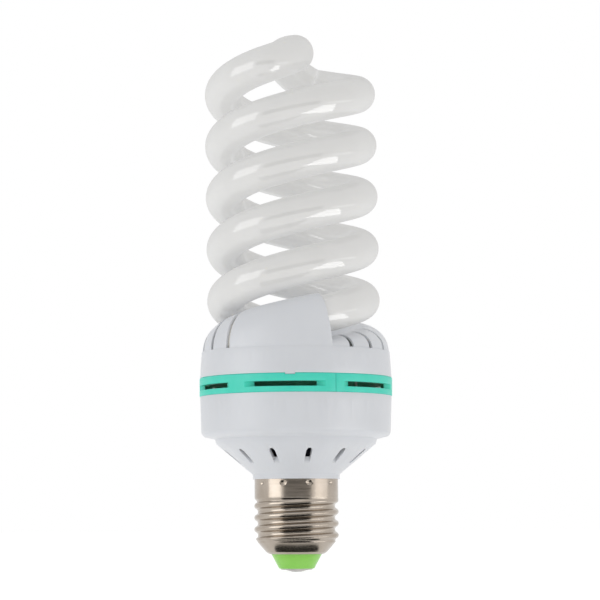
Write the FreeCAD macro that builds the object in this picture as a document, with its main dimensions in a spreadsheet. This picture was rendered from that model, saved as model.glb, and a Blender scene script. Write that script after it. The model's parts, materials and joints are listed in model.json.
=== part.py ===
# Spiral energy saving lamp with a screw cap.
#
# Frame: millimetres, +Z up along the cap's axis, origin in the middle of the flat
# underside of the centre contact. The front of the lamp faces -Y, +X is to its right.
# Angles are counted counter-clockwise from +X, seen from above.
import FreeCAD, Part
import Sketcher
import math
import os
from FreeCAD import Placement, Rotation, Vector

# Driving sizes
SIZES = (
    ("contact_radius", 5.0, "centre contact, outside radius"),
    ("contact_thickness", 0.95, "centre contact, thickness"),
    ("contact_rounding", 0.3, "centre contact, rounding of its lower edge"),
    ("solder_radius", 1.7, "solder well in the centre contact, radius"),
    ("solder_depth", 0.45, "solder well, depth"),
    ("insulator_foot_radius", 5.45, "glass insulator, radius at its foot"),
    ("insulator_neck_radius", 7.85, "glass insulator, radius where it enters the cap"),
    ("insulator_top", 7.5, "glass insulator, height of its upper face"),
    ("cap_rim_height", 5.45, "cap, height of the rim at its lower end"),
    ("cap_rim_radius", 8.5, "cap, outside radius of that rim"),
    ("cap_knee_height", 6.04, "cap, height where the flare starts"),
    ("cap_knee_radius", 9.42, "cap, outside radius where the flare starts"),
    ("cap_wall", 0.3, "cap, sheet thickness"),
    ("thread_bottom", 9.1, "cap, height where the flare ends and the thread starts"),
    ("thread_bottom_radius", 12.1, "cap, outside radius there"),
    ("thread_crest_radius", 13.1, "rolled thread, crest radius"),
    ("thread_root_radius", 11.97, "rolled thread, root radius"),
    ("thread_pitch", 3.629, "rolled thread, pitch"),
    ("thread_crest_height", 14.85, "rolled thread, height of one crest at +X"),
    ("thread_run_in", 1.5, "rolled thread, height over which it rises at its lower end"),
    ("thread_run_out", 1.6, "rolled thread, height over which it fades into the collar"),
    ("thread_top", 22.8, "cap, height where the thread ends and the collar starts"),
    ("collar_radius", 13.0, "cap, outside radius of the collar"),
    ("cap_top", 28.56, "cap, height of its upper edge"),
    ("crimp_height", 27.3, "crimp dimples, height of their centres"),
    ("crimp_radius", 0.95, "crimp dimples, ball radius of the punch"),
    ("crimp_depth", 0.4, "crimp dimples, depth"),
    ("fit_clearance", 0.2, "general clearance between plastic and metal pieces"),
    ("spigot_bottom", 24.0, "housing, lower end of the spigot inside the cap"),
    ("neck_radius", 13.5, "housing, outside radius of the neck above the cap"),
    ("neck_top", 30.0, "housing, height where the neck meets the cone"),
    ("cone_radius", 24.8, "housing, outside radius at the cone's top"),
    ("cone_top", 39.45, "housing, height of the cone's top"),
    ("step_radius", 25.3, "housing, outside radius at the top of the step"),
    ("step_top", 41.0, "housing, height of the top of the step"),
    ("body_foot_radius", 29.45, "housing, outside radius at the foot of the body"),
    ("body_foot", 41.95, "housing, height of the foot of the body"),
    ("body_foot_rounding", 1.8, "housing, rounding of that foot"),
    ("body_top_radius", 29.85, "housing, outside radius at its upper edge"),
    ("body_top", 54.18, "housing, height of its upper edge"),
    ("housing_wall", 1.5, "housing, wall thickness"),
    ("vent_count", 12, "cone vents, count"),
    ("vent_width", 1.8, "cone vents, width"),
    ("vent_inner_radius", 17.4, "cone vents, radius of the inner end"),
    ("vent_outer_radius", 22.6, "cone vents, radius of the outer end"),
    ("vent_angle", 10.5, "cone vents, angle of one of them"),
    ("rib_width", 1.6, "board ribs, width"),
    ("rib_inner_radius", 22.6, "board ribs, radius of the inner face"),
    ("rib_outer_radius", 26.3, "board ribs, radius of the outer face"),
    ("rib_angle", 45.0, "board ribs, angle of the first"),
    ("ring_height", 5.82, "vent ring, height"),
    ("ring_radius", 30.04, "vent ring, outside radius"),
    ("ring_wall", 1.7, "vent ring, wall thickness"),
    ("ring_bevel", 0.3, "vent ring, bevel of its outer edges"),
    ("window_count", 6, "vent ring, count of windows"),
    ("window_bottom", 55.95, "vent ring, height of the lower edge of a window"),
    ("window_height", 1.6, "vent ring, height of a window"),
    ("window_half_angle", 24.4, "vent ring, half of a window's angle at the outside"),
    ("window_inner_half_angle", 19.4, "vent ring, half of a window's angle at the inside"),
    ("window_angle", -96.7, "vent ring, angle of the middle of the front window"),
    ("split_angle", -66.3, "vent ring, angle of the split"),
    ("split_width", 0.15, "vent ring, width of the split"),
    ("notch_angle", -93.3, "locating notch, angle"),
    ("notch_width", 3.1, "locating notch, width"),
    ("notch_height", 0.5, "locating notch, height"),
    ("skirt_radius", 28.1, "cover, outside radius of the skirt"),
    ("skirt_wall", 1.2, "cover, wall of the skirt"),
    ("skirt_depth", 4.2, "cover, how far the skirt reaches into the housing"),
    ("cover_foot_radius", 29.9, "cover, outside radius at the ring"),
    ("cover_wall", 1.4, "cover, wall of the collar"),
    ("rim_height", 68.0, "cover, height of the rim where the shoulder starts"),
    ("rim_radius", 29.35, "cover, outside radius at the rim"),
    ("deck_height", 70.0, "cover, height of the middle"),
    ("deck_wall", 1.4, "cover, wall of the middle"),
    ("hood_wall", 0.8, "hoods, wall thickness"),
    ("hood_mouth_height", 85.1, "hoods, height of the crown at the mouth"),
    ("hood_pitch", 28.0, "hoods, rise of the crown in a full turn"),
    ("hood_mouth_angle", -67.3, "hoods, angle of the front mouth"),
    ("hood_mouth_lean", 7.0, "hoods, lean of the mouth's plane"),
    ("rim_ledge", 0.12, "hoods, step behind the collar's rim"),
    ("hood_ledge", 0.25, "hoods, further inset of the low end behind the rim"),
    ("hood_spread", 0.3, "hoods, extra width on the inner side"),
    ("slot_count", 7, "shoulder slots, count on each hood"),
    ("slot_width", 1.0, "shoulder slots, width"),
    ("slot_angle", -54.0, "shoulder slots, angle of the first on the rear hood"),
    ("slot_pitch", 16.5, "shoulder slots, angle between two"),
    ("tube_radius", 5.72, "glass tube, outside radius"),
    ("coil_radius", 21.3, "spiral, radius of the tube's centre line"),
    ("coil_pitch", 32.64, "spiral, rise of one strand in a full turn"),
    ("coil_lobe_height", 84.2, "spiral, centre line height of the right strand at +X"),
    ("coil_start_angle", -142.0, "spiral, angle of that strand's lower end"),
    ("coil_end_angle", 787.2, "spiral, angle of that strand where the bridge starts"),
    ("coil_narrowing", 0.32, "spiral, loss of radius by the bridge"),
    ("bridge_top", 162.8, "bridge, centre line height at the axis"),
    ("bridge_lead", 3.9, "bridge, length of the straight pull off the coil"),
    ("bridge_reach", 8.65, "bridge, length of the pull through the axis"),
    ("bridge_angle", -42.2, "bridge, direction through the axis"),
    ("coil_lean", -0.7, "spiral, lean of its axis towards -X in the cover"),
    ("coil_lean_height", 34.0, "spiral, height of the pivot of that lean"),
    ("cement_wall", 1.4, "cement round the tube's ends, most thickness"),
    ("seat_gap", 0.1, "gap between pieces that are glued, wound or soldered"),
    ("cement_angle", 16.0, "cement, angle of the stretch that it covers"),
    ("board_radius", 26.6, "circuit board, radius"),
    ("board_thickness", 1.6, "circuit board, thickness"),
    ("board_height", 52.5, "circuit board, height of its lower face"),
    ("lead_radius", 0.35, "component leads, radius"),
    ("lead_hole_clearance", 0.15, "component leads, clearance in the board"),
    ("lead_stub", 1.0, "component leads, length above the board"),
    ("capacitor_radius", 6.0, "smoothing capacitor, can radius"),
    ("capacitor_height", 20.0, "smoothing capacitor, can height"),
    ("core_width", 16.0, "ballast choke, core width"),
    ("core_depth", 5.0, "ballast choke, core depth"),
    ("core_height", 14.0, "ballast choke, core height"),
    ("core_leg", 2.0, "ballast choke, thickness of an outer leg"),
    ("core_yoke", 3.0, "ballast choke, thickness of a yoke"),
    ("core_middle", 4.0, "ballast choke, width of the middle leg"),
    ("bobbin_wall", 0.6, "ballast choke, wall of the bobbin"),
    ("bobbin_depth", 11.0, "ballast choke, depth of the bobbin's flanges"),
    ("toroid_radius", 5.0, "drive transformer, outside radius of the ring core"),
    ("toroid_bore", 2.6, "drive transformer, bore radius of the ring core"),
    ("toroid_height", 4.0, "drive transformer, height of the ring core"),
    ("turn_radius", 2.75, "drive transformer, radius of one turn of wire"),
    ("turn_wire_radius", 0.28, "drive transformer, wire radius"),
    ("transistor_width", 7.8, "transistors, width"),
    ("transistor_depth", 2.7, "transistors, depth"),
    ("transistor_height", 8.5, "transistors, height"),
    ("transistor_gap", 2.0, "transistors, gap to the board"),
    ("film_capacitor_width", 10.0, "resonant capacitor, width"),
    ("film_capacitor_depth", 4.5, "resonant capacitor, depth"),
    ("film_capacitor_height", 9.0, "resonant capacitor, height"),
    ("small_capacitor_width", 5.0, "small capacitors, width"),
    ("small_capacitor_depth", 2.5, "small capacitors, depth"),
    ("small_capacitor_height", 6.0, "small capacitors, height"),
    ("diode_radius", 1.35, "rectifier diodes, body radius"),
    ("diode_length", 5.2, "rectifier diodes, body length"),
    ("resistor_radius", 1.1, "resistors, body radius"),
    ("resistor_length", 6.0, "resistors, body length"),
    ("axial_reach", 1.4, "axial components, lead length beside the body"),
    ("trigger_radius", 0.95, "trigger diode, body radius"),
    ("trigger_length", 4.0, "trigger diode, body length"),
    ("input_choke_radius", 3.0, "input choke, radius"),
    ("input_choke_height", 8.0, "input choke, height"),
    ("fuse_radius", 1.8, "fusible resistor, body radius"),
    ("fuse_length", 10.0, "fusible resistor, body length"),
    ("fuse_bottom", 10.5, "fusible resistor, height of its lower end"),
    ("fuse_sleeve_radius", 0.5, "fusible resistor, radius of its sleeved upper lead"),
    ("shell_lead_reach", 9.3, "cap lead, distance from the axis below the board"),
    ("shell_lead_height", 23.3, "cap lead, height where it turns to the cap"),
    ("pin_width", 0.8, "wrap pins, width"),
    ("pin_length", 8.0, "wrap pins, length above the board"),
    ("pin_distance", 22.5, "wrap pins, distance from the axis"),
    ("pin_spread", 6.0, "wrap pins, angle either side of the tube's end"),
    ("filament_radius", 0.25, "filament leads, radius"),
    ("filament_spread", 1.8, "filament leads, distance from the tube's centre line"),
    ("wire_bend", 1.5, "bending radius of the wires"),
)

doc = FreeCAD.newDocument("spiral_lamp")
sheet = doc.addObject("Spreadsheet::Sheet", "sizes")
for row, (alias, number, meaning) in enumerate(SIZES, start=1):
    sheet.set("A%d" % row, meaning)
    sheet.set("B%d" % row, str(number))
    sheet.setAlias("B%d" % row, alias)
doc.recompute()


# Sizes that carry both their number and their formula in the sheet
class Size:
    def __init__(self, number, formula):
        self.number = number
        self.formula = formula

    def join(self, sign, other, number):
        return Size(number, "(%s %s %s)" % (self.formula, sign, other.formula))

    def __add__(self, other):
        other = as_size(other)
        return self.join("+", other, self.number + other.number)

    def __sub__(self, other):
        other = as_size(other)
        return self.join("-", other, self.number - other.number)

    def __mul__(self, other):
        other = as_size(other)
        return self.join("*", other, self.number * other.number)

    def __truediv__(self, other):
        other = as_size(other)
        return self.join("/", other, self.number / other.number)

    def __radd__(self, other):
        return as_size(other) + self

    def __rsub__(self, other):
        return as_size(other) - self

    def __rmul__(self, other):
        return as_size(other) * self

    def __neg__(self):
        return as_size(0) - self

    def __float__(self):
        return float(self.number)

    def __int__(self):
        return int(self.number)


def as_size(thing):
    return thing if isinstance(thing, Size) else Size(float(thing), repr(float(thing)))


def cosine(angle):
    return Size(math.cos(math.radians(angle.number)), "cos(%s * 1 deg)" % angle.formula)


def sine(angle):
    return Size(math.sin(math.radians(angle.number)), "sin(%s * 1 deg)" % angle.formula)


class Sheet:
    def __getattr__(self, alias):
        return Size(float(sheet.get(alias)), "sizes." + alias)


s = Sheet()


# Helpers that make bound features
def bind(feature, **sizes):
    for name, size in sizes.items():
        size = as_size(size)
        setattr(feature, name, size.number)
        feature.setExpression(name, size.formula)
    return feature


def place(feature, x=0, y=0, z=0, turn=None):
    where = [as_size(value) for value in (x, y, z)]
    feature.Placement.Base = Vector(*[value.number for value in where])
    for axis, value in zip("xyz", where):
        feature.setExpression("Placement.Base." + axis, value.formula)
    if turn is not None:
        turn = as_size(turn)
        feature.Placement.Rotation = Rotation(Vector(0, 0, 1), turn.number)
        feature.setExpression("Placement.Rotation.Angle", turn.formula)
    return feature


def block(name, length, width, height, x=0, y=0, z=0):
    """A box centred on x and y that stands on z."""
    box = bind(doc.addObject("Part::Box", name), Length=length, Width=width, Height=height)
    return place(box, as_size(x) - as_size(length) / 2, as_size(y) - as_size(width) / 2, z)


def rod(name, radius, height, x=0, y=0, z=0):
    """An upright cylinder that stands on z."""
    cylinder = bind(doc.addObject("Part::Cylinder", name), Radius=radius, Height=height)
    return place(cylinder, x, y, z)


def lying_rod(name, radius, length, x, y, z):
    """A cylinder along Y, centred on x, y and z."""
    cylinder = rod(name, radius, length, x, as_size(y) + as_size(length) / 2, z)
    cylinder.Placement.Rotation = Rotation(Vector(1, 0, 0), 90)
    return cylinder


def join(name, pieces):
    fusion = doc.addObject("Part::MultiFuse", name)
    fusion.Shapes = pieces
    return fusion


def cut(name, base, tool):
    difference = doc.addObject("Part::Cut", name)
    difference.Base = base
    difference.Tool = tool
    return difference


def group(name, pieces):
    compound = doc.addObject("Part::Compound", name)
    compound.Links = pieces
    return compound


def shaped(name, shape):
    feature = doc.addObject("Part::Feature", name)
    feature.Shape = shape
    return feature


def outline(body, name, plane, corners, rise=0, turn=0):
    """A closed sketch of straight lines through corners, each held by its two sizes."""
    rise = as_size(rise)
    turn = as_size(turn)
    sketch = body.newObject("Sketcher::SketchObject", name)
    support = [item for item in body.Origin.OriginFeatures if item.Role == plane][0]
    sketch.AttachmentSupport = (support, [""])
    sketch.MapMode = "FlatFace"
    sketch.AttachmentOffset = Placement(Vector(0, 0, rise.number), Rotation(Vector(0, 0, 1), turn.number))
    sketch.setExpression("AttachmentOffset.Base.z", rise.formula)
    sketch.setExpression("AttachmentOffset.Rotation.Angle", turn.formula)
    corners = [(as_size(across), as_size(up)) for across, up in corners]
    points = [Vector(across.number, up.number, 0) for across, up in corners]
    for start, end in zip(points, points[1:] + points[:1]):
        sketch.addGeometry(Part.LineSegment(start, end))
    for index in range(len(points)):
        follower = (index + 1) % len(points)
        sketch.addConstraint(Sketcher.Constraint("Coincident", index, 2, follower, 1))
    for index, (across, up) in enumerate(corners):
        for kind, axis, size in (("DistanceX", -2, across), ("DistanceY", -1, up)):
            if size.number == 0:
                sketch.addConstraint(Sketcher.Constraint("PointOnObject", index, 1, axis))
                continue
            number = sketch.addConstraint(Sketcher.Constraint(kind, -1, 1, index, 1, size.number))
            held = "%s_%d" % (kind, index)
            sketch.renameConstraint(number, held)
            sketch.setExpression("Constraints." + held, size.formula)
    return sketch


def turned(name, corners):
    """A body turned about the vertical axis from an outline of radius and height."""
    body = doc.addObject("PartDesign::Body", name)
    sketch = outline(body, name + "_profile", "XZ_Plane", corners)
    turning = body.newObject("PartDesign::Revolution", name + "_turning")
    turning.Profile = sketch
    turning.ReferenceAxis = (sketch, ["V_Axis"])
    turning.Angle = 360
    sketch.Visibility = False
    doc.recompute()
    return body


def round_edges(body, kind, size, places):
    """Rounds or bevels the round edges of body at the given radii and heights."""
    before = body.Tip
    names = []
    for number, edge in enumerate(before.Shape.Edges, start=1):
        if not isinstance(edge.Curve, Part.Circle):
            continue
        for radius, height in places:
            if abs(edge.Curve.Radius - float(radius)) < 0.01 and abs(edge.Curve.Center.z - float(height)) < 0.01:
                names.append("Edge%d" % number)
    feature = body.newObject("PartDesign::" + kind, body.Name + "_" + kind.lower())
    feature.Base = (before, names)
    bind(feature, **{"Radius" if kind == "Fillet" else "Size": size})
    doc.recompute()
    return feature


def cut_through(body, name, corners, bottom, height, turn=0):
    """Cuts a vertical prism out of body: its plan has these corners, turned by an angle."""
    sketch = outline(body, name + "_plan", "XY_Plane", corners, bottom + height, turn)
    pocket = body.newObject("PartDesign::Pocket", name)
    pocket.Profile = sketch
    pocket.Type = "Length"
    bind(pocket, Length=height)
    return pocket


def repeat(body, name, feature, count):
    """Repeats one feature round the vertical axis."""
    pattern = body.newObject("PartDesign::PolarPattern", name)
    pattern.Originals = [feature]
    axis = [item for item in body.Origin.OriginFeatures if item.Role == "Z_Axis"][0]
    pattern.Axis = (axis, [""])
    pattern.Angle = 360
    pattern.Occurrences = int(count.number)
    pattern.setExpression("Occurrences", count.formula)
    body.Tip = pattern
    doc.recompute()
    return pattern


# Centre contact: a thin metal disc with a shallow well for the solder
def make_centre_contact():
    wire_hole = s.lead_radius + s.fit_clearance
    body = turned("centre_contact", (
        (wire_hole, s.solder_depth),
        (s.solder_radius, s.solder_depth),
        (s.solder_radius, 0),
        (s.contact_radius, 0),
        (s.contact_radius, s.contact_thickness),
        (wire_hole, s.contact_thickness),
    ))
    round_edges(body, "Fillet", s.contact_rounding, ((s.contact_radius, 0),))
    return body


# Solder that fills the well, dressed flush with the contact's flat face
def make_contact_solder():
    edge = s.solder_radius - s.seat_gap
    return turned("contact_solder", (
        (0, 0),
        (edge, 0),
        (edge, s.solder_depth),
        (0, s.solder_depth),
    ))


# Glass insulator: the tapered button below the cap and the disc that the cap's rim holds
def make_base_insulator():
    wire_hole = s.lead_radius + s.fit_clearance
    neck = s.insulator_neck_radius
    clear = s.fit_clearance / 2
    flare = (s.thread_bottom_radius - s.cap_knee_radius) / (s.thread_bottom - s.cap_knee_height)
    shoulder_height = s.cap_knee_height + s.cap_wall + clear
    shoulder_radius = s.cap_knee_radius - s.cap_wall - clear
    top_radius = shoulder_radius + (s.insulator_top - shoulder_height) * flare
    return turned("base_insulator", (
        (wire_hole, s.contact_thickness),
        (s.insulator_foot_radius, s.contact_thickness),
        (neck, s.cap_rim_height),
        (neck, s.cap_rim_height + s.cap_wall + clear),
        (shoulder_radius, shoulder_height),
        (top_radius, s.insulator_top),
        (wire_hole, s.insulator_top),
    ))


# Screw cap: one drawn sheet with a flared foot, a rolled thread and a crimped collar
def blend(part):
    """A smooth step from 0 to 1."""
    part = min(max(part, 0.0), 1.0)
    return part * part * (3 - 2 * part)


def thread_radius(angle, height):
    """Outside radius of the rolled thread at an angle in degrees and a height."""
    top = float(s.thread_top)
    bottom = float(s.thread_bottom)
    middle = (float(s.thread_crest_radius) + float(s.thread_root_radius)) / 2
    depth = (float(s.thread_crest_radius) - float(s.thread_root_radius)) / 2
    run_in = blend((height - bottom) / float(s.thread_run_in))
    run_out = blend((top - height) / float(s.thread_run_out))
    foot = float(s.thread_bottom_radius)
    collar = float(s.collar_radius)
    base = foot + (middle - foot) * run_in + (collar - middle) * (1 - run_out)
    turns = (height - float(s.thread_crest_height)) / float(s.thread_pitch) - angle / 360.0
    return base + depth * run_in * run_out * math.cos(2 * math.pi * turns)


def thread_skin(inset):
    """The wavy surface of the thread, moved inwards by inset."""
    columns = 48
    rows = 46
    bottom = float(s.thread_bottom)
    rise = float(s.thread_top) - bottom
    grid = []
    for column in range(columns + 1):
        angle = 360.0 * column / columns
        turn = math.radians(angle % 360)
        line = []
        for row in range(rows + 1):
            height = bottom + rise * row / rows
            radius = thread_radius(angle, height) - inset
            line.append(Vector(radius * math.cos(turn), radius * math.sin(turn), height))
        grid.append(line)
    surface = Part.BSplineSurface()
    surface.interpolate(grid)
    return surface.toShape()


def flat_ring(outer, inner, height):
    """The flat annulus that closes the thread's two skins at a height."""
    rims = []
    for skin in (outer, inner):
        rims.append(Part.Wire([edge for edge in skin.Edges if level(edge, height)]))
    return Part.Face(rims)


def level(edge, height):
    box = edge.BoundBox
    return box.ZLength < 0.001 and abs(box.ZMin - height) < 0.001


def turned_shape(corners):
    """A solid turned about the vertical axis from corners given as plain numbers."""
    points = [Vector(radius, 0, height) for radius, height in corners]
    profile = Part.Face(Part.makePolygon(points + points[:1]))
    return profile.revolve(Vector(0, 0, 0), Vector(0, 0, 1), 360)


def crimp_balls(radius):
    """The balls of the crimping punch, round the collar."""
    centre = float(s.collar_radius) - float(s.crimp_depth) + float(s.crimp_radius)
    balls = []
    for turn in range(10):
        angle = math.radians(36 * turn)
        middle = Vector(centre * math.cos(angle), centre * math.sin(angle), float(s.crimp_height))
        balls.append(Part.makeSphere(radius, middle))
    return balls


def make_screw_shell():
    wall = float(s.cap_wall)
    outer = thread_skin(0)
    inner = thread_skin(wall)
    bottom = float(s.thread_bottom)
    top = float(s.thread_top)
    faces = [outer, inner, flat_ring(outer, inner, bottom), flat_ring(outer, inner, top)]
    skin = Part.makeCompound(faces)
    skin.sewShape()
    thread = Part.Solid(skin.Shells[0])
    if thread.Volume < 0:
        thread.reverse()
    foot_radius = float(s.thread_bottom_radius)
    rim = float(s.insulator_neck_radius) + float(s.fit_clearance) / 2
    foot = turned_shape((
        (rim, float(s.cap_rim_height)),
        (float(s.cap_rim_radius), float(s.cap_rim_height)),
        (float(s.cap_knee_radius), float(s.cap_knee_height)),
        (foot_radius, bottom),
        (foot_radius - wall, bottom),
        (float(s.cap_knee_radius) - wall, float(s.cap_knee_height) + wall),
        (float(s.cap_rim_radius) - wall / 2, float(s.cap_rim_height) + wall),
        (rim, float(s.cap_rim_height) + wall),
    ))
    collar_radius = float(s.collar_radius)
    collar = turned_shape((
        (collar_radius, top),
        (collar_radius, float(s.cap_top)),
        (collar_radius - wall, float(s.cap_top)),
        (collar_radius - wall, top),
    ))
    shell = foot.fuse([thread, collar])
    bore = Part.makeCylinder(collar_radius - wall, float(s.cap_top))
    punched = [ball.cut(Part.makeCylinder(collar_radius, float(s.cap_top)).cut(bore))
               for ball in crimp_balls(float(s.crimp_radius) + wall)]
    dimples = [ball.common(bore) for ball in punched]
    shell = shell.fuse(dimples)
    shell = shell.cut(crimp_balls(float(s.crimp_radius)))
    return shaped("screw_shell", shell)


# Lower housing: spigot, neck, cone with vents, body and the ribs that carry the board
def make_lower_housing():
    wall = s.housing_wall
    spigot = s.collar_radius - s.cap_wall - s.fit_clearance
    groove = s.collar_radius - s.crimp_depth - s.cap_wall - s.fit_clearance / 2
    bore = s.skirt_radius + s.fit_clearance
    slope = (s.cone_top - s.neck_top) / (s.cone_radius - s.neck_radius)
    neck_bore = s.neck_radius - wall
    body = turned("lower_housing", (
        (neck_bore, s.spigot_bottom),
        (spigot, s.spigot_bottom),
        (spigot, s.crimp_height - s.crimp_radius),
        (groove, s.crimp_height - s.crimp_radius),
        (groove, s.crimp_height + s.crimp_radius),
        (spigot, s.crimp_height + s.crimp_radius),
        (spigot, s.cap_top),
        (s.neck_radius, s.cap_top),
        (s.neck_radius, s.neck_top),
        (s.cone_radius, s.cone_top),
        (s.step_radius, s.step_top),
        (s.body_foot_radius, s.body_foot),
        (s.body_top_radius, s.body_top),
        (bore, s.body_top),
        (bore, s.body_foot + wall),
        (s.step_radius - wall, s.step_top + wall),
        (s.cone_radius - wall, s.cone_top + wall * slope / 2),
        (neck_bore, s.neck_top + wall * slope / 2),
    ))
    round_edges(body, "Fillet", s.body_foot_rounding, ((s.body_foot_radius, s.body_foot),))
    half = s.vent_width / 2
    slot = cut_through(body, "vent", (
        (s.vent_inner_radius, -half),
        (s.vent_outer_radius - half, -half),
        (s.vent_outer_radius, -half / 2),
        (s.vent_outer_radius, half / 2),
        (s.vent_outer_radius - half, half),
        (s.vent_inner_radius, half),
    ), s.neck_top, s.cone_top + wall - s.neck_top, s.vent_angle)
    repeat(body, "vents", slot, s.vent_count)
    half_rib = s.rib_width / 2
    floor = s.body_foot + wall
    rib_plan = outline(body, "rib_plan", "XY_Plane", (
        (s.rib_inner_radius, -half_rib),
        (s.rib_outer_radius, -half_rib),
        (s.rib_outer_radius, half_rib),
        (s.rib_inner_radius, half_rib),
    ), floor - wall / 2, s.rib_angle)
    rib = body.newObject("PartDesign::Pad", "rib")
    rib.Profile = rib_plan
    bind(rib, Length=s.board_height - floor + wall / 2)
    repeat(body, "ribs", rib, as_size(4))
    return body


# Vent ring: a split coloured band with six long windows, held between cover and housing
def window_plan(half_angle, inner_half_angle, inner_radius, outer_radius):
    """Plan of a window centred on +X: its ends slope from one angle to the other."""
    far = outer_radius * 1.3
    corners = []
    for radius, angle in ((inner_radius, inner_half_angle), (outer_radius, half_angle), (far, half_angle)):
        corners.append((radius * cosine(angle), radius * sine(angle)))
    return tuple(corners) + tuple((across, -along) for across, along in reversed(corners))


def make_vent_ring():
    inner = s.ring_radius - s.ring_wall
    top = s.body_top + s.ring_height
    body = turned("vent_ring", (
        (inner, s.body_top),
        (s.ring_radius, s.body_top),
        (s.ring_radius, top),
        (inner, top),
    ))
    round_edges(body, "Chamfer", s.ring_bevel, ((s.ring_radius, s.body_top), (s.ring_radius, top)))
    plan = window_plan(s.window_half_angle, s.window_inner_half_angle, inner, s.ring_radius)
    window = cut_through(body, "window", plan, s.window_bottom, s.window_height, s.window_angle)
    repeat(body, "windows", window, s.window_count)
    reach = s.ring_radius + 1
    half = s.split_width / 2
    cut_through(body, "split", (
        (inner - 1, -half),
        (reach, -half),
        (reach, half),
        (inner - 1, half),
    ), s.body_top, s.ring_height, s.split_angle)
    half = s.notch_width / 2
    cut_through(body, "notch", (
        (inner - 1, -half),
        (reach, -half),
        (reach, half),
        (inner - 1, half),
    ), top - s.notch_height, s.notch_height, s.notch_angle)
    return body


# Top cover: a collar with a skirt, a flat middle and two rising hoods for the tube's ends
def make_cover_collar():
    """The round part of the cover, with windows through the skirt and a locating tab."""
    foot = s.body_top + s.ring_height
    skirt_bore = s.skirt_radius - s.skirt_wall
    collar_bore = s.rim_radius - s.cover_wall
    body = turned("cover_collar", (
        (s.skirt_radius, s.body_top - s.skirt_depth),
        (s.skirt_radius, foot),
        (s.cover_foot_radius, foot),
        (s.rim_radius, s.rim_height),
        (collar_bore, s.rim_height),
        (collar_bore, foot + s.cover_wall),
        (skirt_bore, foot + s.cover_wall / 2),
        (skirt_bore, s.body_top - s.skirt_depth),
    ))
    tab = outline(body, "tab_plan", "XY_Plane", (
        (s.skirt_radius - s.skirt_wall / 2, -(s.notch_width / 2 - s.fit_clearance / 2)),
        (s.ring_radius - s.fit_clearance / 2, -(s.notch_width / 2 - s.fit_clearance / 2)),
        (s.ring_radius - s.fit_clearance / 2, s.notch_width / 2 - s.fit_clearance / 2),
        (s.skirt_radius - s.skirt_wall / 2, s.notch_width / 2 - s.fit_clearance / 2),
    ), foot - s.notch_height + s.fit_clearance / 2, s.notch_angle)
    pad = body.newObject("PartDesign::Pad", "tab")
    pad.Profile = tab
    bind(pad, Length=s.notch_height)
    plan = window_plan(s.window_half_angle, s.window_half_angle, skirt_bore, s.skirt_radius)
    window = cut_through(body, "skirt_window", plan, s.window_bottom, s.window_height, s.window_angle)
    repeat(body, "skirt_windows", window, s.window_count)
    return body


def hood_crown(angle, inset):
    """Height of the hood's crown at an angle, on the front hood."""
    back = float(s.hood_mouth_angle) - angle
    return float(s.hood_mouth_height) - float(s.hood_pitch) * back / 360 - inset


def hood_section(angle, inset):
    """Closed section of the front hood in the radial plane at an angle, moved in by inset."""
    back = float(s.hood_mouth_angle) - angle
    rim = float(s.rim_height)
    middle = float(s.coil_radius)
    ledge = float(s.rim_ledge) + float(s.hood_ledge) * blend((back - 85) / 50)
    outer_half = float(s.rim_radius) - middle - ledge - inset
    inner_half = outer_half + float(s.hood_spread)
    rise = hood_crown(angle, inset) - rim
    power = 2 / (2 + 0.5 * blend(1 - back / 90))
    turn = math.radians(angle)

    def spot(radius, height):
        return Vector(radius * math.cos(turn), radius * math.sin(turn), height)

    steps = 16
    crown = []
    for step in range(steps + 1):
        part = math.pi * step / steps
        half = outer_half if step <= steps / 2 else inner_half
        across = math.copysign(abs(math.cos(part)) ** power, math.cos(part))
        crown.append(spot(middle + half * across, rim + rise * abs(math.sin(part)) ** power))
    curve = Part.BSplineCurve()
    curve.interpolate(crown)
    foot = rim - float(s.cover_wall) + inset
    low_out = spot(middle + outer_half, foot)
    low_in = spot(middle - inner_half, foot)
    edges = [curve.toShape()]
    edges.append(Part.LineSegment(crown[-1], low_in).toShape())
    edges.append(Part.LineSegment(low_in, low_out).toShape())
    edges.append(Part.LineSegment(low_out, crown[0]).toShape())
    return Part.Wire(edges)


def hood_body(inset, first, last):
    """The hood between two angles as one solid."""
    count = 13
    step = (last - first) / (count - 1)
    return Part.makeLoft([hood_section(first + step * index, inset) for index in range(count)], True, False)


def mouth_cutter():
    """What lies in front of the front hood's mouth: its plane leans back from the rim."""
    size = 60
    rim = float(s.rim_height)
    cutter = Part.makeBox(size, size, size, Vector(4, 0, rim - size / 3))
    cutter.rotate(Vector(0, 0, rim), Vector(1, 0, 0), float(s.hood_mouth_lean))
    cutter.rotate(Vector(0, 0, 0), Vector(0, 0, 1), float(s.hood_mouth_angle))
    return cutter


def slot_cutters():
    """The radial slots over the shoulder of the rear hood."""
    width = float(s.slot_width)
    inner = float(s.coil_radius) - 0.5
    length = float(s.rim_radius) - inner + 2
    height = float(s.hood_mouth_height) - float(s.rim_height) + 2
    cutters = []
    for number in range(int(s.slot_count)):
        slot = Part.makeBox(length, width, height, Vector(inner, -width / 2, float(s.rim_height) + 0.1))
        slot.rotate(Vector(0, 0, 0), Vector(0, 0, 1), float(s.slot_angle) + float(s.slot_pitch) * number)
        cutters.append(slot)
    return cutters


def half_turn(shape):
    turned_copy = shape.copy()
    turned_copy.rotate(Vector(0, 0, 0), Vector(0, 0, 1), 180)
    return turned_copy


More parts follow.
